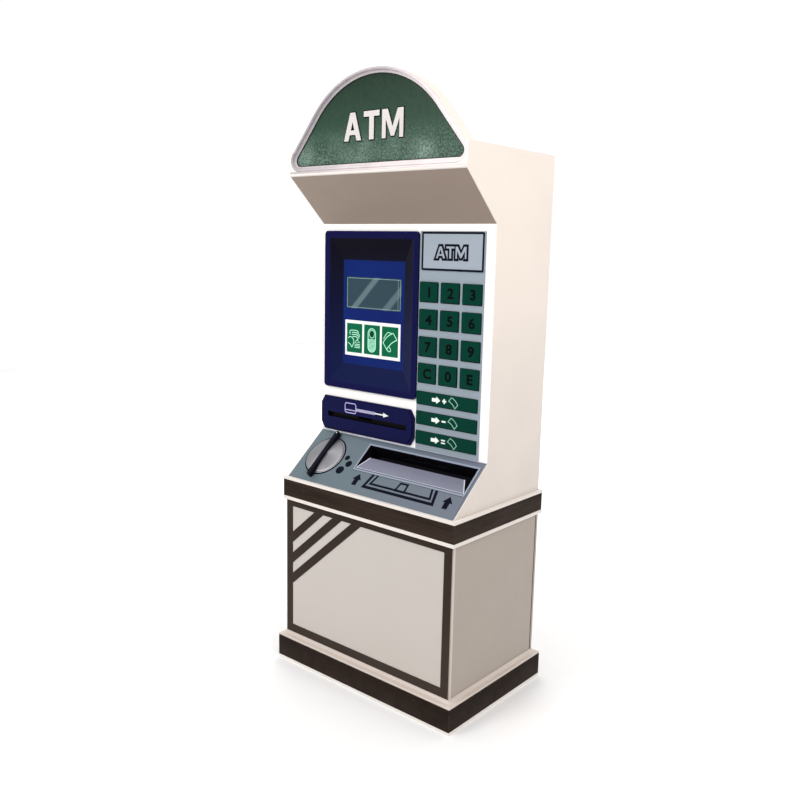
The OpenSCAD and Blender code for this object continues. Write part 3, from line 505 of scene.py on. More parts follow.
CONSOLE_LOW, CONSOLE_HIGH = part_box("console_panel")
CONSOLE_RUN = CONSOLE_HIGH.y - CONSOLE_LOW.y
CONSOLE_RISE = CONSOLE_HIGH.z - CONSOLE_LOW.z
SLOPE = math.atan2(CONSOLE_RISE, CONSOLE_RUN)
SLOPE_LENGTH = math.hypot(CONSOLE_RUN, CONSOLE_RISE)


def on_console(out=0.0):
    """Local X is the row's +X, local Y runs up the console and local Z stands out of it."""
    foot = Matrix.Translation((0, CONSOLE_LOW.y, CONSOLE_LOW.z))
    return foot @ Matrix.Rotation(SLOPE, 4, "X") @ Matrix.Translation((0, 0, out))


# ---- outlines


def mm(points):
    """Points that are written in millimetres, in metres."""
    return [(x * MM, y * MM) for x, y in points]


def arc(centre, radius, start, end, steps):
    """Points along an arc from one angle to another."""
    angles = [start + i * (end - start) / steps for i in range(steps + 1)]
    return [(centre[0] + radius * math.cos(a), centre[1] + radius * math.sin(a)) for a in angles]


def ring(count, radius, centre=(0, 0)):
    """Points round a circle."""
    return arc(centre, radius, 0, 2 * math.pi, count)[:-1]


def round_rect(width, height, radius, steps=6, centre=(0, 0)):
    """Points round a rectangle with round corners, anticlockwise."""
    half_w, half_h = width / 2 - radius, height / 2 - radius
    points = []
    for k, (sx, sy) in enumerate([(1, 1), (-1, 1), (-1, -1), (1, -1)]):
        corner = (centre[0] + sx * half_w, centre[1] + sy * half_h)
        points += arc(corner, radius, math.radians(90 * k), math.radians(90 * (k + 1)), steps)
    return points


def grown(points, by):
    """A closed outline moved outwards by a distance, its sharpest corners blunted."""
    area = sum(a[0] * b[1] - b[0] * a[1] for a, b in zip(points, points[1:] + points[:1]))
    side = 1 if area > 0 else -1
    moved_points = []
    for before, here, after in zip(points[-1:] + points[:-1], points, points[1:] + points[:1]):
        p = Vector(here)
        come, go = (p - Vector(before)).normalized(), (Vector(after) - p).normalized()
        first, second = Vector((come.y, -come.x)) * side, Vector((go.y, -go.x)) * side
        both = (first + second).normalized()
        reach = by / max(0.55, both.dot(first))
        moved_points.append(tuple(p + both * reach))
    return moved_points


def outline(points, width):
    """A closed line of a given width, as two loops."""
    return [grown(points, width / 2), grown(points, -width / 2)]


def frame_line(width, height, radius, pen, centre=(0, 0)):
    """The line, pen wide, round a rectangle with round corners, as two loops."""
    outer = round_rect(width + pen, height + pen, radius + pen / 2, 5, centre)
    inner = round_rect(width - pen, height - pen, max(radius - pen / 2, pen / 20), 5, centre)
    return [outer, inner]


def line(points, width):
    """An open line of a given width with square ends, as one loop."""
    left, right = [], []
    for i, here in enumerate(points):
        p = Vector(here)
        come = (p - Vector(points[i - 1])).normalized() if i else None
        go = (Vector(points[i + 1]) - p).normalized() if i + 1 < len(points) else None
        along = ((come or go) + (go or come)).normalized()
        across = Vector((-along.y, along.x))
        reach = width / 2 / max(0.5, along.dot(come or go))
        left.append(tuple(p + across * reach))
        right.append(tuple(p - across * reach))
    return [left + right[::-1]]


def flowing(points, steps=6):
    """A smooth line through the points, as more points."""
    ends = [Vector(p) for p in points[:1] + points + points[-1:]]
    smooth = []
    for a, b, c, d in zip(ends, ends[1:], ends[2:], ends[3:]):
        for i in range(steps):
            t = i / steps
            smooth.append(tuple(b + 0.5 * t * (c - a) + 0.5 * t ** 2 * (2 * a - 5 * b + 4 * c - d)
                                + 0.5 * t ** 3 * (3 * b - a - 3 * c + d)))
    return smooth + [points[-1]]


def turned(points, degrees, centre=(0, 0)):
    """Points turned about the origin, then moved to a centre."""
    c, s = math.cos(math.radians(degrees)), math.sin(math.radians(degrees))
    return [(centre[0] + c * x - s * y, centre[1] + s * x + c * y) for x, y in points]


def moved(loops, dx, dy):
    """Loops of points moved along both axes."""
    return [[(x + dx, y + dy) for x, y in loop] for loop in loops]


def stamp(shapes, centre, degrees=0.0):
    """Shapes drawn in millimetres, turned and set on a centre, in metres."""
    return [moved([mm(turned(loop, degrees)) for loop in loops], *centre) for loops in shapes]


def cross(arm, half):
    """A plus sign centred on the origin, its arms 2 * half wide."""
    corner = [(arm, half), (half, half), (half, arm)]
    return [point for i in range(4) for point in turned(corner, 90 * i)]


def block_arrow(length, head_w, head_l, stem_w):
    """A block arrow that points along +X, centred on the origin."""
    tip, neck, tail = length / 2, length / 2 - head_l, -length / 2
    return [(tail, -stem_w / 2), (neck, -stem_w / 2), (neck, -head_w / 2), (tip, 0), (neck, head_w / 2),
            (neck, stem_w / 2), (tail, stem_w / 2)]


def curled_note(width, height, fold):
    """Outline of a banknote or card with one long side bowed, centred on the origin."""
    w, h = width / 2, height / 2
    side = [(2 * w * i / 6 - w, fold * math.sin(math.pi * i / 6)) for i in range(7)]
    return [(-x, bow - h) for x, bow in side] + [(x, bow + h) for x, bow in side]


# ---- solids


def add_bands(built, rows):
    """Adds the faces between each row of corners and the next."""
    for a, b in zip(rows, rows[1:]):
        for i in range(len(a)):
            j = (i + 1) % len(a)
            built.faces.new((a[i], a[j], b[j], b[i]))


def loft(name, rings, material, smooth=32):
    """A closed skin through rings of (x, y, z) points, all with the same number of points."""
    built = bmesh.new()
    rows = [[built.verts.new(p) for p in points] for points in rings]
    add_bands(built, rows)
    built.faces.new(list(reversed(rows[0])))
    built.faces.new(rows[-1])
    bmesh.ops.recalc_face_normals(built, faces=built.faces)
    return piece_of(built, name, material, smooth=smooth)


def at(points, z):
    """Flat points set at a height."""
    return [(x, y, z) for x, y in points]


def add_solid(built, loops, matrix, low, high):
    """Adds the solid between two heights whose outline is the first loop and whose holes are the others."""
    flat = [p for loop in loops for p in loop]
    top = [built.verts.new(matrix @ Vector((x, y, high))) for x, y in flat]
    foot = [built.verts.new(matrix @ Vector((x, y, low))) for x, y in flat]
    faces = []
    for a, b, c in tessellate_polygon([[Vector((x, y, 0)) for x, y in loop] for loop in loops]):
        faces.append(built.faces.new((top[a], top[b], top[c])))
        faces.append(built.faces.new((foot[c], foot[b], foot[a])))
    start = 0
    for loop in loops:
        count = len(loop)
        for i in range(count):
            a, b = start + i, start + (i + 1) % count
            faces.append(built.faces.new((top[a], foot[a], foot[b], top[b])))
        start += count
    bmesh.ops.recalc_face_normals(built, faces=faces)


def flat_shapes(name, shapes, matrix, material, height=0.4, body="root", sink=0.1, width=0.0):
    """Thin raised shapes, each a list of loops, on the plane of matrix and each a hair above the last.

    The height, how far they sink in and the width of their rounded edges are in millimetres."""
    hair = 0.015 * MM
    built = bmesh.new()
    for i, loops in enumerate(shapes):
        add_solid(built, loops, matrix, -sink * MM, height * MM + hair * i)
    bmesh.ops.dissolve_limit(built, angle_limit=math.radians(0.5), verts=built.verts, edges=built.edges)
    piece = piece_of(built, name, material, body)
    return soften(piece, width * MM) if width else piece


# ---- lettering


def letter_a(w, h, t):
    lean = (w - 1.25 * t) / 2 / h
    foot = 1.15 * t
    bar_low, bar_high = 0.21 * h, 0.21 * h + 0.85 * t
    in_low, in_high = foot + lean * bar_low, foot + lean * bar_high
    outer = [(0, 0), (foot, 0), (in_low, bar_low), (w - in_low, bar_low), (w - foot, 0), (w, 0),
             (w - lean * h, h), (lean * h, h)]
    peak = (w / 2 - foot) / lean
    return [outer, [(in_high, bar_high), (w - in_high, bar_high), (w / 2, peak)]]


def letter_t(w, h, t):
    low, half = h - t, t * 0.58
    return [[(w / 2 - half, 0), (w / 2 + half, 0), (w / 2 + half, low), (w, low), (w, h), (0, h), (0, low),
             (w / 2 - half, low)]]


def letter_m(w, h, t):
    shoulder, notch, waist = 1.35 * t, 0.38 * h, 0.66 * h
    half = [(0, 0), (0.92 * t, 0), (0.92 * t, waist), (w / 2 - 0.38 * t, 0.06 * h)]
    crown = [(w - shoulder, h), (w / 2, notch), (shoulder, h), (0, h)]
    return [half + [(w - x, y) for x, y in reversed(half)] + [(w, h)] + crown]


def word(x, y, height, stroke, widen=1.0):
    """The machine's generic name in plain capitals, centred on x with its foot on y, as shapes."""
    widths, gap = [widen * share * height for share in (0.86, 0.76, 1.0)], 0.13 * height
    start = x - (sum(widths) + 2 * gap) / 2
    shapes = []
    for make, w in zip((letter_a, letter_t, letter_m), widths):
        shapes.append(moved(make(w, height, stroke), start, y))
        start += w + gap
    return shapes


def legend(name, text, size, matrix, material, body, height=0.25 * MM):
    """A digit or letter in the plain built-in face, as a thin raised mesh centred on the plane of matrix."""
    boldness, half_depth, lift, wider = 0.032, 0.5, 0.3, 1.12
    curve = bpy.data.curves.new(name, "FONT")
    curve.body = text
    curve.offset = boldness
    curve.extrude = half_depth
    holder = add_object(name, curve)
    bpy.context.view_layer.update()
    mesh = bpy.data.meshes.new_from_object(holder.evaluated_get(bpy.context.evaluated_depsgraph_get()))
    bpy.data.objects.remove(holder)
    bpy.data.curves.remove(curve)
    built = bmesh.new()
    built.from_mesh(mesh)
    bmesh.ops.remove_doubles(built, verts=built.verts, dist=1e-4)
    xs, ys = [v.co.x for v in built.verts], [v.co.y for v in built.verts]
    middle = Matrix.Translation((-(min(xs) + max(xs)) / 2, -(min(ys) + max(ys)) / 2, lift))
    scale = Matrix.Diagonal((wider * size, size, height, 1))
    bmesh.ops.transform(built, verts=built.verts, matrix=matrix @ scale @ middle)
    built.to_mesh(mesh)
    built.free()
    mesh.name = name
    return finish_piece(name, mesh, material, body)


# ---- camera, floor and light

CAMERA_PLACE = (1.822, -2.200, 1.477)
CAMERA_RIGHT = Vector((0.765, 0.644, 0.023))
CAMERA_UP = Vector((-0.125, 0.114, 0.986))
CAMERA_LENS, CAMERA_SENSOR = 38.22, 36.0
CAMERA_SHIFT = (-0.0118, -0.0072)


def make_camera():
    """The photograph's viewpoint: in front, to the machine's left as it faces out, at eye height."""
    data = bpy.data.cameras.new("camera")
    camera = add_object("camera", data)
    back = CAMERA_RIGHT.cross(CAMERA_UP).normalized()
    up = back.cross(CAMERA_RIGHT).normalized()
    turn = Matrix((CAMERA_RIGHT.normalized(), up, back)).transposed()
    camera.matrix_world = Matrix.Translation(CAMERA_PLACE) @ turn.to_4x4()
    data.sensor_width = CAMERA_SENSOR
    data.lens = CAMERA_LENS
    data.shift_x, data.shift_y = CAMERA_SHIFT
    data.clip_start, data.clip_end = 0.05, 60
    bpy.context.scene.camera = camera


def area_light(name, place, target, size, watts, colour, spread):
    data = bpy.data.lights.new(name, "AREA")
    data.shape = "RECTANGLE"
    data.size, data.size_y = size
    data.energy = watts
    data.color = colour
    data.spread = math.radians(spread)
    lamp = add_object(name, data)
    lamp.location = place
    lamp.rotation_mode = "QUATERNION"
    lamp.rotation_quaternion = (Vector(target) - Vector(place)).to_track_quat("-Z", "Y")


def make_studio():
    """A pale floor under soft lights."""
    size = 8.0
    floor_mesh = bpy.data.meshes.new("floor")
    corners = [(-size, -size, 0), (size, -size, 0), (size, size, 0), (-size, size, 0)]
    floor_mesh.from_pydata(corners, [], [(0, 1, 2, 3)])
    floor = add_object("floor", floor_mesh)
    g = Graph("pale_floor")
    g.set(Base_Color=g.mix(g.noise(1.5, 3), (0.86, 0.86, 0.86), (0.83, 0.83, 0.835)), Roughness=0.6)
    floor_mesh.materials.append(g.material)
    make_world()
    # Each light: its name, place, target, width and height, watts, colour and spread in degrees
    for light in [
        ("key_light", (-0.6, -2.7, 2.7), (0, -0.1, 1.45), (1.4, 1.1), 54, (1.0, 0.99, 0.98), 180),
        ("right_light", (2.4, -0.5, 2.9), (0.3, 0, 1.55), (1.2, 1.2), 34, (1.0, 0.95, 0.91), 180),
        ("back_light", (0.2, 3.2, 2.2), (0, 0, 1.1), (2.0, 2.0), 8, (1, 1, 1), 180),
        ("floor_light", (-3.7, 4.7, 4.6), (-3.7, 4.7, 0), (6.4, 6.4), 150, (1, 1, 1), 100),
    ]:
        area_light(*light)


def make_world():
    """A studio with a bright wall behind the machine, a bright ceiling and a dimmer room in front of it."""
    to_wall = (-0.64, 0.77, 0)
    world = bpy.data.worlds.new("studio")
    bpy.context.scene.world = world
    g = Graph("studio", world, "Generated")
    facing_wall = g.node("VectorMath", {0: g.place, 1: to_wall}, operation="DOT_PRODUCT").outputs["Value"]
    wall, ceiling = g.level(facing_wall, 0.0, 0.7, 0.55, 1.02), g.level(g.z, 0.25, 0.70, 0.55, 1.0)
    g.set(Strength=g.maths("MAXIMUM", wall, ceiling), Color=(1.0, 0.995, 0.99))


bpy.context.scene.view_settings.view_transform = "Standard"
make_camera()
make_studio()

# ---- CAD nodes that keep their shape

KEYS = [node for node in NODES if node.startswith("key_")]

# Each row: the nodes, their material and the width of their rounded edges in millimetres
for names, material, width in [
    (["base_plate"], cream_light, 1.0),
    (["waist_trims"], cream_waist, 1.0),
    (["plinth_moulding"], cream_plinth, 1.0),
    (["plinth_band"], brown_dark, 1.2),
    (["waist_band"], brown, 1.2),
    (["front_trim"], brown_paint, 0.4),
    (["lower_side_left", "lower_side_right"], cream_side, 0.7),
    (["upper_side_left", "upper_side_right", "rear_door"], cream_upper, 0.7),
    (["front_panel", "safe_door"], cream_front, 0.7),
    (["roof_panel"], cream, 0.7),
    (["fascia_panel"], fascia_white, 0.7),
    (["soffit_panel"], taupe_shaded, 0.7),
    (["sign_box"], cream_upper, 0.8),
    (["sign_face"], sign_acrylic(), 0.4),
    (["sign_lamps"], lamp_glass(), 0.0),
    (["console_panel"], console, 0.6),
    (["deck_plate", "safe_body", "dispenser"], steel, 0.8),
    (["safe_bolts", "door_hinges"], steel_upright, 0.5),
    (["safe_handle", "rear_latch"], black_plastic, 0.8),
    (["cash_cassettes", "card_reader"], black_plastic, 1.2),
    (["computer", "display_module"], grey_plastic, 1.0),
    (["screen_bezel"], navy, 1.4),
    (["display_glass"], display_surface(), 0.3),
    (["pictogram_panel"], white_plastic, 0.6),
    (["card_bezel"], navy_bezel, 1.2),
    (["keypad_panel"], panel_paint, 0.5),
    (["keypad_badge"], badge_paint, 0.5),
    (["keypad_board"], board_green(), 0.2),
    (["cash_tray"], tray_black, 0.5),
    (["cash_flap"], anodised, 0.5),
    (["feed_roller", "pinch_roller"], rubber, 0.4),
    (["knob", "knob_bar"], black_plastic, 0.0),
    (["sign_rim"], cream_light, 0.0),
    (KEYS, green_key, 0.8),
]:
    for node in names:
        dress(node, material, width * MM)

# ---- sign

SIGN_LOW, SIGN_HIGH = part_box("sign_rim")
SIGN_HALF = SIGN_HIGH.x
ARCH_R = 333 * MM
ARCH_Z = SIGN_HIGH.z - ARCH_R
SIDE_ANGLE = math.radians(40)  # where the arch meets the round lower corners
RIM_W = 16 * MM
NOSE_W = 7 * MM  # the round front edge of the rim
HOOD_EDGE = SIGN_LOW.z - 14 * MM


def sign_outline(inset):
    """The sign's arch with its two round lower corners, a distance inside its edge, as (x, z) points."""
    c, s = math.cos(SIDE_ANGLE), math.sin(SIDE_ANGLE)
    corner = (ARCH_Z * s + ARCH_R - SIGN_HALF * c - SIGN_LOW.z * s) / (1 + s - c)
    x, z, r = SIGN_HALF - corner, SIGN_LOW.z + corner, corner - inset
    quarter, half = math.pi / 2, math.pi
    return (arc((x, z), r, -quarter, SIDE_ANGLE, 14)
            + arc((0, ARCH_Z), ARCH_R - inset, SIDE_ANGLE, half - SIDE_ANGLE, 64)
            + arc((-x, z), r, half - SIDE_ANGLE, half + quarter, 14))


def sweep(name, profile, material):
    """A closed frame: each (inset, y) point of the profile is carried round the sign's outline."""
    built = bmesh.new()
    rows = [[built.verts.new((x, y, z)) for x, z in sign_outline(inset)] for inset, y in profile]
    add_bands(built, rows + rows[:1])
    bmesh.ops.recalc_face_normals(built, faces=built.faces)
    return piece_of(built, name, material)


def make_sign_rim():
    """A round-nosed rim, a hollow reveal inside it and a dark seal round the face."""
    front, back = SIGN_LOW.y, SIGN_HIGH.y
    margin, nose_r, nose_end = 0.2 * MM, 2.6 * MM, -0.3
    nose = arc((nose_r + margin, front + nose_r), nose_r, -math.pi, -math.pi / 2, 5)
    nose += arc((NOSE_W - nose_r, front + nose_r), nose_r, -math.pi / 2, nose_end, 5)
    rim = sweep("sign_rim_moulding", nose + [(NOSE_W, back), (margin, back)], rim_lilac_shaded)
    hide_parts("sign_rim")
    start, reveal_y, cove_r = NOSE_W - 0.3 * MM, front + 1.5 * MM, 9.4 * MM
    cove = arc((RIM_W + 1 * MM, reveal_y), cove_r, -math.pi, -1.5 * math.pi, 8)
    cove = [(min(inset, RIM_W), y) for inset, y in cove]
    reveal = [(start, reveal_y)] + cove + [(RIM_W, back), (start, back)]
    sweep("sign_rim_reveal", reveal, rim_lilac_shaded)
    bead = mm([(0, -2.4), (1.2, -3.0), (2.6, -1.6), (2.6, 0.05), (-0.5, 0.05)])
    sweep("sign_seal", moved([bead], RIM_W, back)[0], black_plastic)


def make_sign_word():
    """The word on the sign's face, each letter raised on a dark plate a little larger than it, a painted
    shadow round the letter.
    """
    foot, height, stroke, centre = SIGN_LOW.z + 85 * MM, 85 * MM, 16.5 * MM, -5 * MM
    plate = facing_front(0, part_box("sign_face")[0].y, 0)
    letters = word(centre, foot, height, stroke)
    # painted shadow: dark plates grown round each letter
    edges = [[grown(loops[0], 2.8 * MM)] for loops in letters]
    flat_shapes("sign_letter_edge", edges, plate, ink, 1.2)
    flat_shapes("sign_letters", letters, plate, sign_white, 3.2, width=0.8)


def make_hood_edge():
    """Two strips with a groove between them on the hood's front edge, below the sign."""
    low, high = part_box("soffit_panel")
    lip = facing_front(0, low.y, 0)
    reach = high.x - 0.6 * MM
    for name, start, end, material, height, width in [
        ("hood_edge_low", 0.2, 6.0, cream_waist, 2.2, 0.8),
        ("hood_edge_high", 7.6, 13.4, rim_lilac_shaded, 1.6, 0.6),
        ("hood_edge_groove", 5.6, 8.0, taupe_shaded, 0.3, 0.0),
    ]:
        foot, top = HOOD_EDGE + start * MM, HOOD_EDGE + end * MM
        strip = [(-reach, foot), (reach, foot), (reach, top), (-reach, top)]
        flat_shapes(name, [[strip]], lip, material, height, width=width)


make_sign_rim()
make_sign_word()
make_hood_edge()

# ---- screen, pictures and card slot

SLOT_HOLE = [(x, 20 + 1.12 * z) for x, z in ring(28, 12)]  # an oval, in millimetres about its tile's middle


def picture_card():
    """A hand from the left with a card over three bars, in millimetres about its tile's middle."""
    pen = 2.9
    back = [(-21, 11), (-22, 21), (-17, 26), (0, 27), (13, 25.5), (20, 20)]
    thumb = [(-30, -1), (-19, 3.5), (-7, -2), (-3, -12), (-6, -23), (-12, -33)]
    wrist = [(-30, -18), (-20, -23), (-12, -33)]
    fingers = [[(-12, 18.5), (6, 19.5), (20, 15), (25, 6)],
               [(-12, 11), (7, 12.5), (18, 8), (22, -1)],
               [(-9, 4), (6, 5.5), (14, 1), (17, -6)]]
    card = outline([(2, -15), (13, -5), (26, -15)], 2.2)
    bars = [line([(1, -21 - 5.6 * i), (27, -21.5 - 5.6 * i)], 2.7) for i in range(3)]
    palm = [line(flowing(points), pen) for points in (back, thumb, wrist)]
    return palm + [card] + [line(flowing(points), pen) for points in fingers] + bars


def picture_slot():
    """An upright capsule with an oval opening in its upper half, barred below it."""
    foot_z, foot_r = -24.5, 16
    capsule = frame_line(34.5, 80, 17, 3.3, (0, -1.5))
    oval = outline(SLOT_HOLE, 2.2)
    bars = []
    for i in range(10):
        z = 1 - 4.2 * i
        half = math.sqrt(foot_r ** 2 - min(0, z - foot_z) ** 2)
        bars.append(line([(-half, z), (half, z)], 2.5))
    return [capsule, oval] + bars


def picture_notes():
    """A leaning banknote with a bowed side and a curled corner, and the edge of another behind it."""
    front = outline(turned(curled_note(57, 28, 5), 38, (0.7, 2)), 2.9)
    behind = line(flowing([(-28, 8), (-19, 22), (-9.5, 31), (1, 30.5), (11, 28)]), 2.7)
    curl = line(flowing([(-13, -27.5), (-6, -32), (1, -33), (4.5, -28), (-2, -16)]), 2.7)
    return [front, behind, curl]


def make_pictures():
    """Three green tiles side by side, each with its picture in pale line."""
    low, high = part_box("pictogram_panel")
    border, border_z, gap, tile_t = 9 * MM, 11 * MM, 9.5 * MM, 0.5
    tile_w = (high.x - low.x - 2 * border - 2 * gap) / 3
    tile_h = high.z - low.z - 2 * border_z
    plate = facing_front(0, low.y, 0)
    raised = facing_front(0, low.y - tile_t * MM, 0)
    pictures = [("card", picture_card), ("slot", picture_slot), ("notes", picture_notes)]
    for i, (name, picture) in enumerate(pictures):
        middle = (low.x + border + tile_w / 2 + i * (tile_w + gap), (low.z + high.z) / 2)
        tile = [round_rect(tile_w, tile_h, 1.5 * MM, 3, middle)]
        flat_shapes("picture_tile_" + name, [tile], plate, tile_green, tile_t)
        flat_shapes("picture_" + name, stamp(picture(), middle), raised, tile_line, 0.35)
        if picture is picture_slot:
            hole = stamp([[SLOT_HOLE]], middle)
            flat_shapes("picture_hole", hole, raised, tile_shade, 0.15)


def make_display():
    """A printed border on the display window, and a line near its right side."""
    low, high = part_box("display_glass")
    window = facing_front(0, low.y, 0)
    margin = 8 * MM
    middle = centre_of(low, high)
    border = frame_line(high.x - low.x - margin, high.z - low.z - margin, 2 * MM, 1.8 * MM, middle)
    flat_shapes("display_border", [border], window, display_edge, 0.3)
    x = high.x - 14 * MM
    side = line([(x, low.z + 5 * MM), (x, high.z - 5 * MM)], 1.2 * MM)
    flat_shapes("display_side_line", [side], window, display_edge, 0.25)


def make_card_slot():
    """Printed over the card slot: a card with its stripe, and an arrow from it to the right."""
    plate = facing_front(0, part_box("card_bezel")[0].y, 0)
    left, foot, shaft_z = -243, 907, 921
    tail, neck, barb, tip = left + 55, -100, -62, -38
    card = frame_line(52 * MM, 34 * MM, 7 * MM, 3.0 * MM, ((left + 27) * MM, (foot + 17) * MM))
    stripe = line(mm([(left + 3, foot + 10), (left + 50, foot + 10)]), 3.0 * MM)
    flat_shapes("card_icon", [card, stripe], plate, lilac_ink)
    shaft = line(mm([(tail, shaft_z), (neck, shaft_z)]), 10 * MM)
    flat_shapes("card_arrow_tail", [shaft], plate, lilac_grey)
    under = [(neck, -2), (barb, -2), (barb, -8), (tip, 0)]
    over = [(x, -z) for x, z in under[2::-1]]
    arrow = moved([mm(under + over)], 0, shaft_z * MM)
    flat_shapes("card_arrow", [arrow], plate, white_ink)


make_pictures()
make_display()
make_card_slot()

# ---- keys and badge


def make_badge():
    """The badge over the keys: a heavy frame, and the word in the badge's own colour with dark edges."""
    low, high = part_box("keypad_badge")
    plate = facing_front(0, low.y, 0)
    middle = centre_of(low, high)
    border = frame_line(high.x - low.x - 7 * MM, high.z - low.z - 7 * MM, 1.2 * MM, 6.4 * MM, middle)
    flat_shapes("badge_frame", [border], plate, ink, 0.8)
    height, stroke = 37 * MM, 6.0 * MM
    letters = word(middle[0] - 4 * MM, low.z + 39 * MM, height, stroke, 1.12)
    edges = [[grown(loops[0], 7.2 * MM)] for loops in letters]
    flat_shapes("badge_letter_edge", edges, plate, ink, 0.5)
    flat_shapes("badge_letters", letters, plate, badge_paint, 1.1)


def key_face(node, aside=0.0, below=0.0):
    """The plane of a key's front, its origin a little right of and below the middle."""
    low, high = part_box(node)
    x, z = centre_of(low, high)
    return facing_front(x + aside, low.y, z - below)


def make_legends():
    """Digits 0 to 9, C and E on the square keys."""
    texts = {"key_clear": "C", "key_enter": "E", **{"key_%d" % i: str(i) for i in range(10)}}
    for node, text in texts.items():
        cap = key_face(node, 4 * MM, 1 * MM)
        legend("mark_" + node, text, 44 * MM, cap, key_ink, body_of(node))


def make_gaskets():
    """Dark rings in the gaps round the keys, wider at the left and below, a painted shadow of the raised
    keys.
    """
    panel = facing_front(0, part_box("keypad_panel")[0].y, 0)
    shadow_rings = []
    for node in KEYS:
        low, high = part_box(node)
        x, z = centre_of(low, high)
        width, height = high.x - low.x, high.z - low.z - 5 * MM
        # painted shadow: each ring is shifted left and down from its key
        outer = round_rect(width + 4.6 * MM, height + 4.6 * MM, 2 * MM, 3, (x - 0.8 * MM, z - 0.9 * MM))
        shadow_rings.append([outer, round_rect(width + 1.7 * MM, height + 1.7 * MM, 1.2 * MM, 3, (x, z))])
    flat_shapes("key_gaskets", shadow_rings, panel, ink, 0.35)


def make_signs():
    """An arrow, a sign and a banknote on each of the wide keys."""
    signs = {
        "key_plus": [[cross(8, 2.75)]],
        "key_minus": [line([(-8, 0), (8, 0)], 5.5)],
        "key_equals": [line([(-8, z), (8, z)], 4.5) for z in (4.5, -4.5)],
    }
    for node, sign in signs.items():
        cap = key_face(node)
        marks = stamp([[block_arrow(34, 24, 16, 12)]], (-38 * MM, 0)) + stamp(sign, (-5 * MM, 0))
        flat_shapes("mark_" + node, marks, cap, white_ink, body=body_of(node))
        note = stamp([outline(curled_note(33, 17, 3), 2.6)], (31 * MM, -1 * MM), -40)
        flat_shapes("note_" + node, note, cap, key_line, body=body_of(node))


make_badge()
make_legends()
make_gaskets()
make_signs()

# ---- console

KNOB_TURN = Matrix.Translation(joint_place("knob_turn")) @ Matrix.Rotation(SLOPE, 4, "X")
KNOB_R, KNOB_H, KNOB_RIM = 77 * MM, 13 * MM, 3 * MM


def place_on_knob(piece):
    """Sets a piece that was made about its own axis on the knob's, and hangs it on the knob's body."""
    piece.parent = None
    piece.matrix_world = KNOB_TURN
    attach(piece, "knob")
    return piece


def make_dome():
    """The knob's shaft with its collar, and a spun dome with a rolled edge, lathed about local Z."""
    steps = 26
    rise = KNOB_H - KNOB_RIM
    dome_r = (KNOB_R * KNOB_R + rise * rise) / (2 * rise)
    reach = math.asin(KNOB_R / dome_r)
    shaft = mm([(1, -24), (6, -24), (6, -22), (11, -22), (11, -17), (6, -17), (6, 0.3)])
    edge = mm([(-0.8, 0.3), (0, 1.1), (0, 1.8), (-0.5, 2.6), (-1.4, 3), (-4.0, 2.8), (-4.6, 3.9)])
    profile = shaft + moved([edge], KNOB_R, 0)[0]
    for i in range(2, steps):
        a = reach * (1 - i / steps)
        profile.append((dome_r * math.sin(a), KNOB_H - dome_r + dome_r * math.cos(a)))
    rings = [at(ring(128, r), z) for r, z in profile]
    return place_on_knob(loft("knob_dome", rings, spun_metal(), 25))


def make_grip():
    """A round-ended bar with a round upper edge across the knob, and a pale dot near its upper end."""
    long, wide, edge, steps = 197 * MM, 18 * MM, 3.2 * MM, 6
    top, foot, end_r = KNOB_H + 9 * MM, 4 * MM, wide / 2 - 0.1 * MM

    def level(inset, z):
        return at(round_rect(wide - 2 * inset, long - 2 * inset, end_r - inset, 10), z)

    rings = [level(0.5 * MM, foot), level(0, foot + 1 * MM)]
    for i in range(steps + 1):
        a = math.pi / 2 * i / steps
        rings.append(level(edge * (1 - math.cos(a)), top - edge + edge * math.sin(a)))
    bar = place_on_knob(loft("knob_grip", rings, black_gloss, 40))
    dot = ring(24, 2.4 * MM, (0, long / 2 - 9 * MM))
    on_top = Matrix.Translation((0, 0, top))
    place_on_knob(flat_shapes("knob_pointer", [[dot]], on_top, white_ink, 0.3))
    return bar


def make_knob():
    """The dome and its grip, and a dark ring under them, a painted shadow round the dome's edge."""
    dome = make_dome()
    bar = make_grip()
    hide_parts("knob")
    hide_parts("knob_bar")
    # painted shadow: a dark ring round the dome's edge
    shadow_ring = [ring(96, KNOB_R + 4.6 * MM), ring(96, KNOB_R - 6 * MM)]
    flat_shapes("knob_seat", [shadow_ring], KNOB_TURN, ink, 0.25)


def make_console_marks():
    """Three growing dots, two arrows and the tray's outline, printed on the console."""
    flap_edge = 86.5
    dots = [((-168, 126), 10), ((-146, 104), 13), ((-165, 73), 16)]
    shapes = [[mm(ring(40, r, middle))] for middle, r in dots]
    for x in (-72, 310):
        shapes += stamp([[block_arrow(46, 38, 23, 19)]], (x * MM, 54 * MM), 90)
    outer = [(-17, flap_edge), (-29, 35), (262, 35), (250, flap_edge)]
    inner = [(3, flap_edge), (-8, 51), (243, 51), (232, flap_edge)]
    shapes.append(line(mm(outer), 10.5 * MM))
    shapes.append(line(mm(inner), 7.5 * MM))
    shapes.append(outline(mm([(100, 50), (106, 80), (136, 80), (138, 50)]), 7 * MM))
    flat_shapes("console_marks", shapes, on_console(), ink, 0.3)


def make_tray_trim():
    """Bright folded lip round the tray's mouth."""
    low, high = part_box("cash_tray")
    flange, lip_t, mouth_l, first, play = 7 * MM, 1.5 * MM, 101 * MM, 94 * MM, 0.4 * MM
    middle = ((low.x + high.x) / 2, first + mouth_l / 2)
    outer = round_rect(high.x - low.x - 0.6 * MM, mouth_l + 2 * flange - 0.6 * MM, 2.4 * MM, 4, middle)
    inner = round_rect(high.x - low.x - 2 * flange + play, mouth_l + play, 0.8 * MM, 4, middle)
    flat_shapes("tray_lip", [[outer, inner]], on_console(lip_t), tray_rim, 0.5,
                sink=0.05, width=0.25)


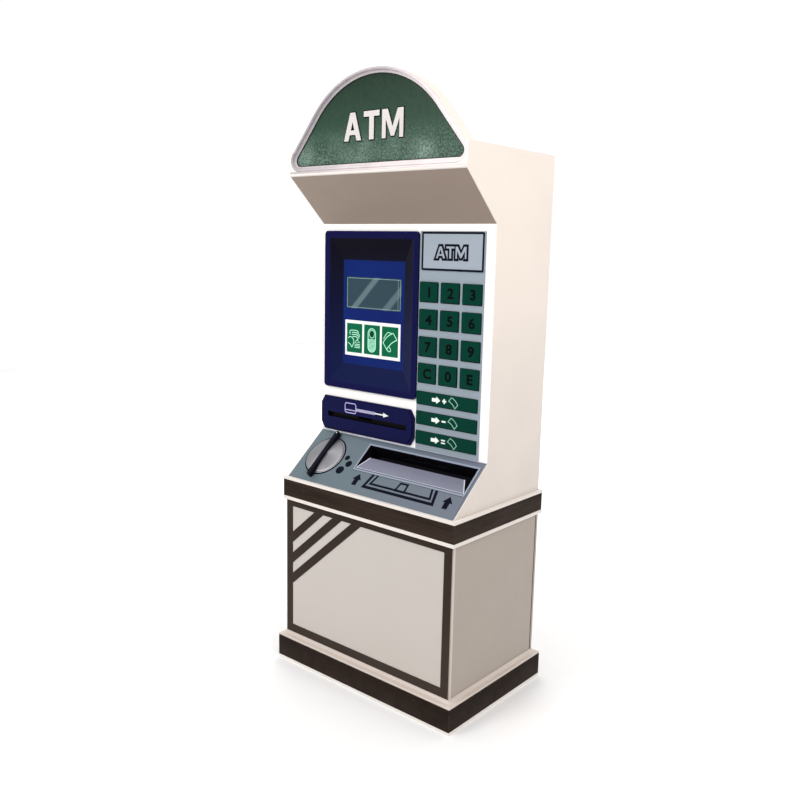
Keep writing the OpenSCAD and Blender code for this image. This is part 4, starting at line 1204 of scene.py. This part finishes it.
def make_flap_edges():
    """Bright folded edges at the flap's slanting ends and along its hinge."""
    pin = joint_place("cash_flap_swing")
    low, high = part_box("cash_flap")
    rest = Matrix.Translation((0, pin.y, pin.z)) @ Matrix.Rotation(SLOPE - math.radians(4), 4, "X")
    half, middle = (high.x - low.x) / 2 - 4.2 * MM, (low.x + high.x) / 2
    taper, near, far, top = 27 * MM, -1 * MM, 49 * MM, 4 * MM
    shapes = [line([(middle + s * half, near), (middle + s * (half - taper), far)], 3 * MM) for s in (-1, 1)]
    shapes.append(line([(middle + s * (half - 2 * MM), -0.5 * MM) for s in (-1, 1)], 1.2 * MM))
    plane = rest @ Matrix.Translation((0, 0, top))
    flat_shapes("flap_edges", shapes, plane, bead_lilac, 0.5, "cash_flap")


def make_console_edges():
    """A thin bright bead where the console meets the fascia."""
    top = SLOPE_LENGTH - 2 * MM
    bead = line([(CONSOLE_LOW.x + 1 * MM, top), (CONSOLE_HIGH.x - 1 * MM, top)], 2.6 * MM)
    flat_shapes("console_bead", [bead], on_console(), bead_lilac, 1.2, width=0.4)


make_knob()
make_console_marks()
make_tray_trim()
make_flap_edges()
make_console_edges()

# ---- back, top and sides

BACK_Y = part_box("lower_side_right")[1].y


def facing_back(x, y, z):
    """Local Y is the row's +Z, and local Z looks out of the machine's back."""
    return facing((0, 1, 0), x, y, z)


def screws(name, plate, places, body="root", radius=5 * MM, out=0.0):
    """Steel pan heads with a cross recess, at places (x, y) on a plate, their seats a distance out of it."""
    built = bmesh.new()
    recess = cross(0.62 * radius, 0.16 * radius)
    for x, y in places:
        place = plate @ Matrix.Translation((x, y, out))
        add_solid(built, [ring(24, radius)], place, -0.2 * MM, 0.8 * MM)
        add_solid(built, [ring(24, 0.9 * radius), recess], place, 0.75 * MM, 1.8 * MM)
    soften(piece_of(built, name, steel, body), 0.25 * MM, 1)


def make_louvres():
    """Pressed hoods over the two rows of vent slots in the rear door."""
    low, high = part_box("rear_door")
    hood = [(-0.3, 6.5), (1.2, 6.2), (4.2, 3.4), (6.2, -1.2), (6.8, -5), (5.8, -5), (5.2, -1.4), (3.5, 2.4),
            (0.8, 4.8), (-0.3, 5.0)]
    cheek = hood[:5] + [(-0.3, -5)]
    half, lap, thick, count, step = 134 * MM, 0.2 * MM, 1 * MM, 8, 20 * MM
    built = bmesh.new()
    for row in (low.z + 90 * MM, high.z - 250 * MM):
        for i in range(count):
            place = facing((1, 0, 0), 0, BACK_Y, row + i * step + 4 * MM)
            add_solid(built, [mm(hood)], place, -half, half)
            add_solid(built, [mm(cheek)], place, -half - thick, -half + lap)
            add_solid(built, [mm(cheek)], place, half - lap, half + thick)
    soften(piece_of(built, "louvre_hoods", cream_upper, "rear_door"), 0.3 * MM, 1)


def door_face(node):
    """The flat of a rear door without its hinge knuckles: (x0, z0), (x1, z1)."""
    low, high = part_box(node)
    hinge = joint_place(node + "_swing")
    near = hinge.x + 4 * MM if hinge.x < 0 else low.x
    far = hinge.x - 4 * MM if hinge.x > 0 else high.x
    return (near, low.z), (far, high.z)


def make_swages():
    """A pressed line round each rear door."""
    margin = 50 * MM
    for node, material in (("rear_door", cream_upper), ("safe_door", cream_front)):
        low, high = door_face(node)
        middle = (-(low[0] + high[0]) / 2, (low[1] + high[1]) / 2)
        swage = frame_line(high[0] - low[0] - margin, high[1] - low[1] - margin, 12 * MM, 9 * MM, middle)
        plane = facing_back(0, BACK_Y, 0)
        flat_shapes(node + "_swage", [swage], plane, material, 1.4, node, width=0.9)


def steel_part(name, shape, place, body, height, width):
    """A flat steel fitting on the back of a door, its height and edge in millimetres."""
    flat_shapes(name, [shape], place, steel, height, body, width=width)


def make_rear_lock():
    """A round lock with its collar and key slot, below the latch."""
    latch = joint_place("rear_latch_turn")
    lock = facing_back(latch.x, BACK_Y, latch.z - 62 * MM)
    slot = [(-0.9, -4.5), (0.9, -4.5), (0.9, 4.5), (-0.9, 4.5)]
    steel_part("rear_lock_collar", [mm(ring(40, 12)), mm(ring(40, 8.4))], lock, "rear_door", 2.4, 0.6)
    steel_part("rear_lock_barrel", [mm(ring(40, 8.2)), mm(slot)], lock, "rear_door", 1.6, 0.3)


def make_safe_fittings():
    """A round plate under the safe's handle with four screws, and a keyhole plate beside it."""
    handle = joint_place("safe_handle_turn")
    plate = facing_back(handle.x, BACK_Y, handle.z)
    steel_part("safe_handle_plate", [mm(ring(56, 38)), mm(ring(56, 24))], plate, "safe_door", 2.0, 0.7)
    places = turned(ring(4, 31 * MM), 45)
    screws("safe_handle_screws", plate, places, "safe_door", 3.2 * MM, 2.0 * MM)
    keyhole = facing_back(handle.x - 120 * MM, BACK_Y, handle.z)
    hole = arc((0, 4), 2.2, math.radians(-50), math.radians(230), 12) + [(-2.0, -7), (2.0, -7)]
    steel_part("safe_keyhole", [mm(round_rect(24, 46, 11, 8)), mm(hole)], keyhole, "safe_door", 2.2, 0.6)


def make_sign_cover():
    """A screwed cover on the back of the sign box."""
    cover_t = 1.6
    cover = facing_back(0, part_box("sign_box")[1].y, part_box("roof_panel")[1].z + 95 * MM)
    plate = round_rect(300 * MM, 120 * MM, 10 * MM, 6)
    flat_shapes("sign_box_cover", [[plate]], cover, cream_light, cover_t, width=0.8)
    places = mm([(x, z) for x in (-138, 0, 138) for z in (-48, 48)])
    screws("sign_cover_screws", cover, places, out=cover_t * MM)


def make_roof_screws():
    """A screw in each corner of the roof."""
    low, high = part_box("roof_panel")
    inset, front = 30 * MM, 40 * MM
    corners = [(x, y) for x in (low.x + inset, high.x - inset) for y in (high.y - inset, front)]
    screws("roof_screws", Matrix.Translation((0, 0, high.z)), corners)


def make_sides():
    """Pale strips on the front corners, a painted highlight where the corner meets the shaded side, and a
    dark seam on the lower cabinet's sides.
    """
    for name, side in (("right", 1), ("left", -1)):
        low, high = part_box("lower_side_" + name)
        plate = facing((side, 0, 0), high.x if side > 0 else low.x, 0, 0)
        z0, z1 = low.z + 2 * MM, high.z - 2 * MM
        corner = side * (low.y + 7 * MM)
        seam = side * (high.y - 13 * MM)
        bead, gap = line([(corner, z0), (corner, z1)], 10 * MM), line([(seam, z0), (seam, z1)], 4 * MM)
        # painted highlight: a pale strip along the corner edge
        flat_shapes("corner_bead_" + name, [bead], plate, cream_plinth, 0.8, width=0.5)
        flat_shapes("side_seam_" + name, [gap], plate, brown_paint, 0.4)


make_swages()
make_louvres()
make_rear_lock()
make_safe_fittings()
make_sign_cover()
make_roof_screws()
make_sides()
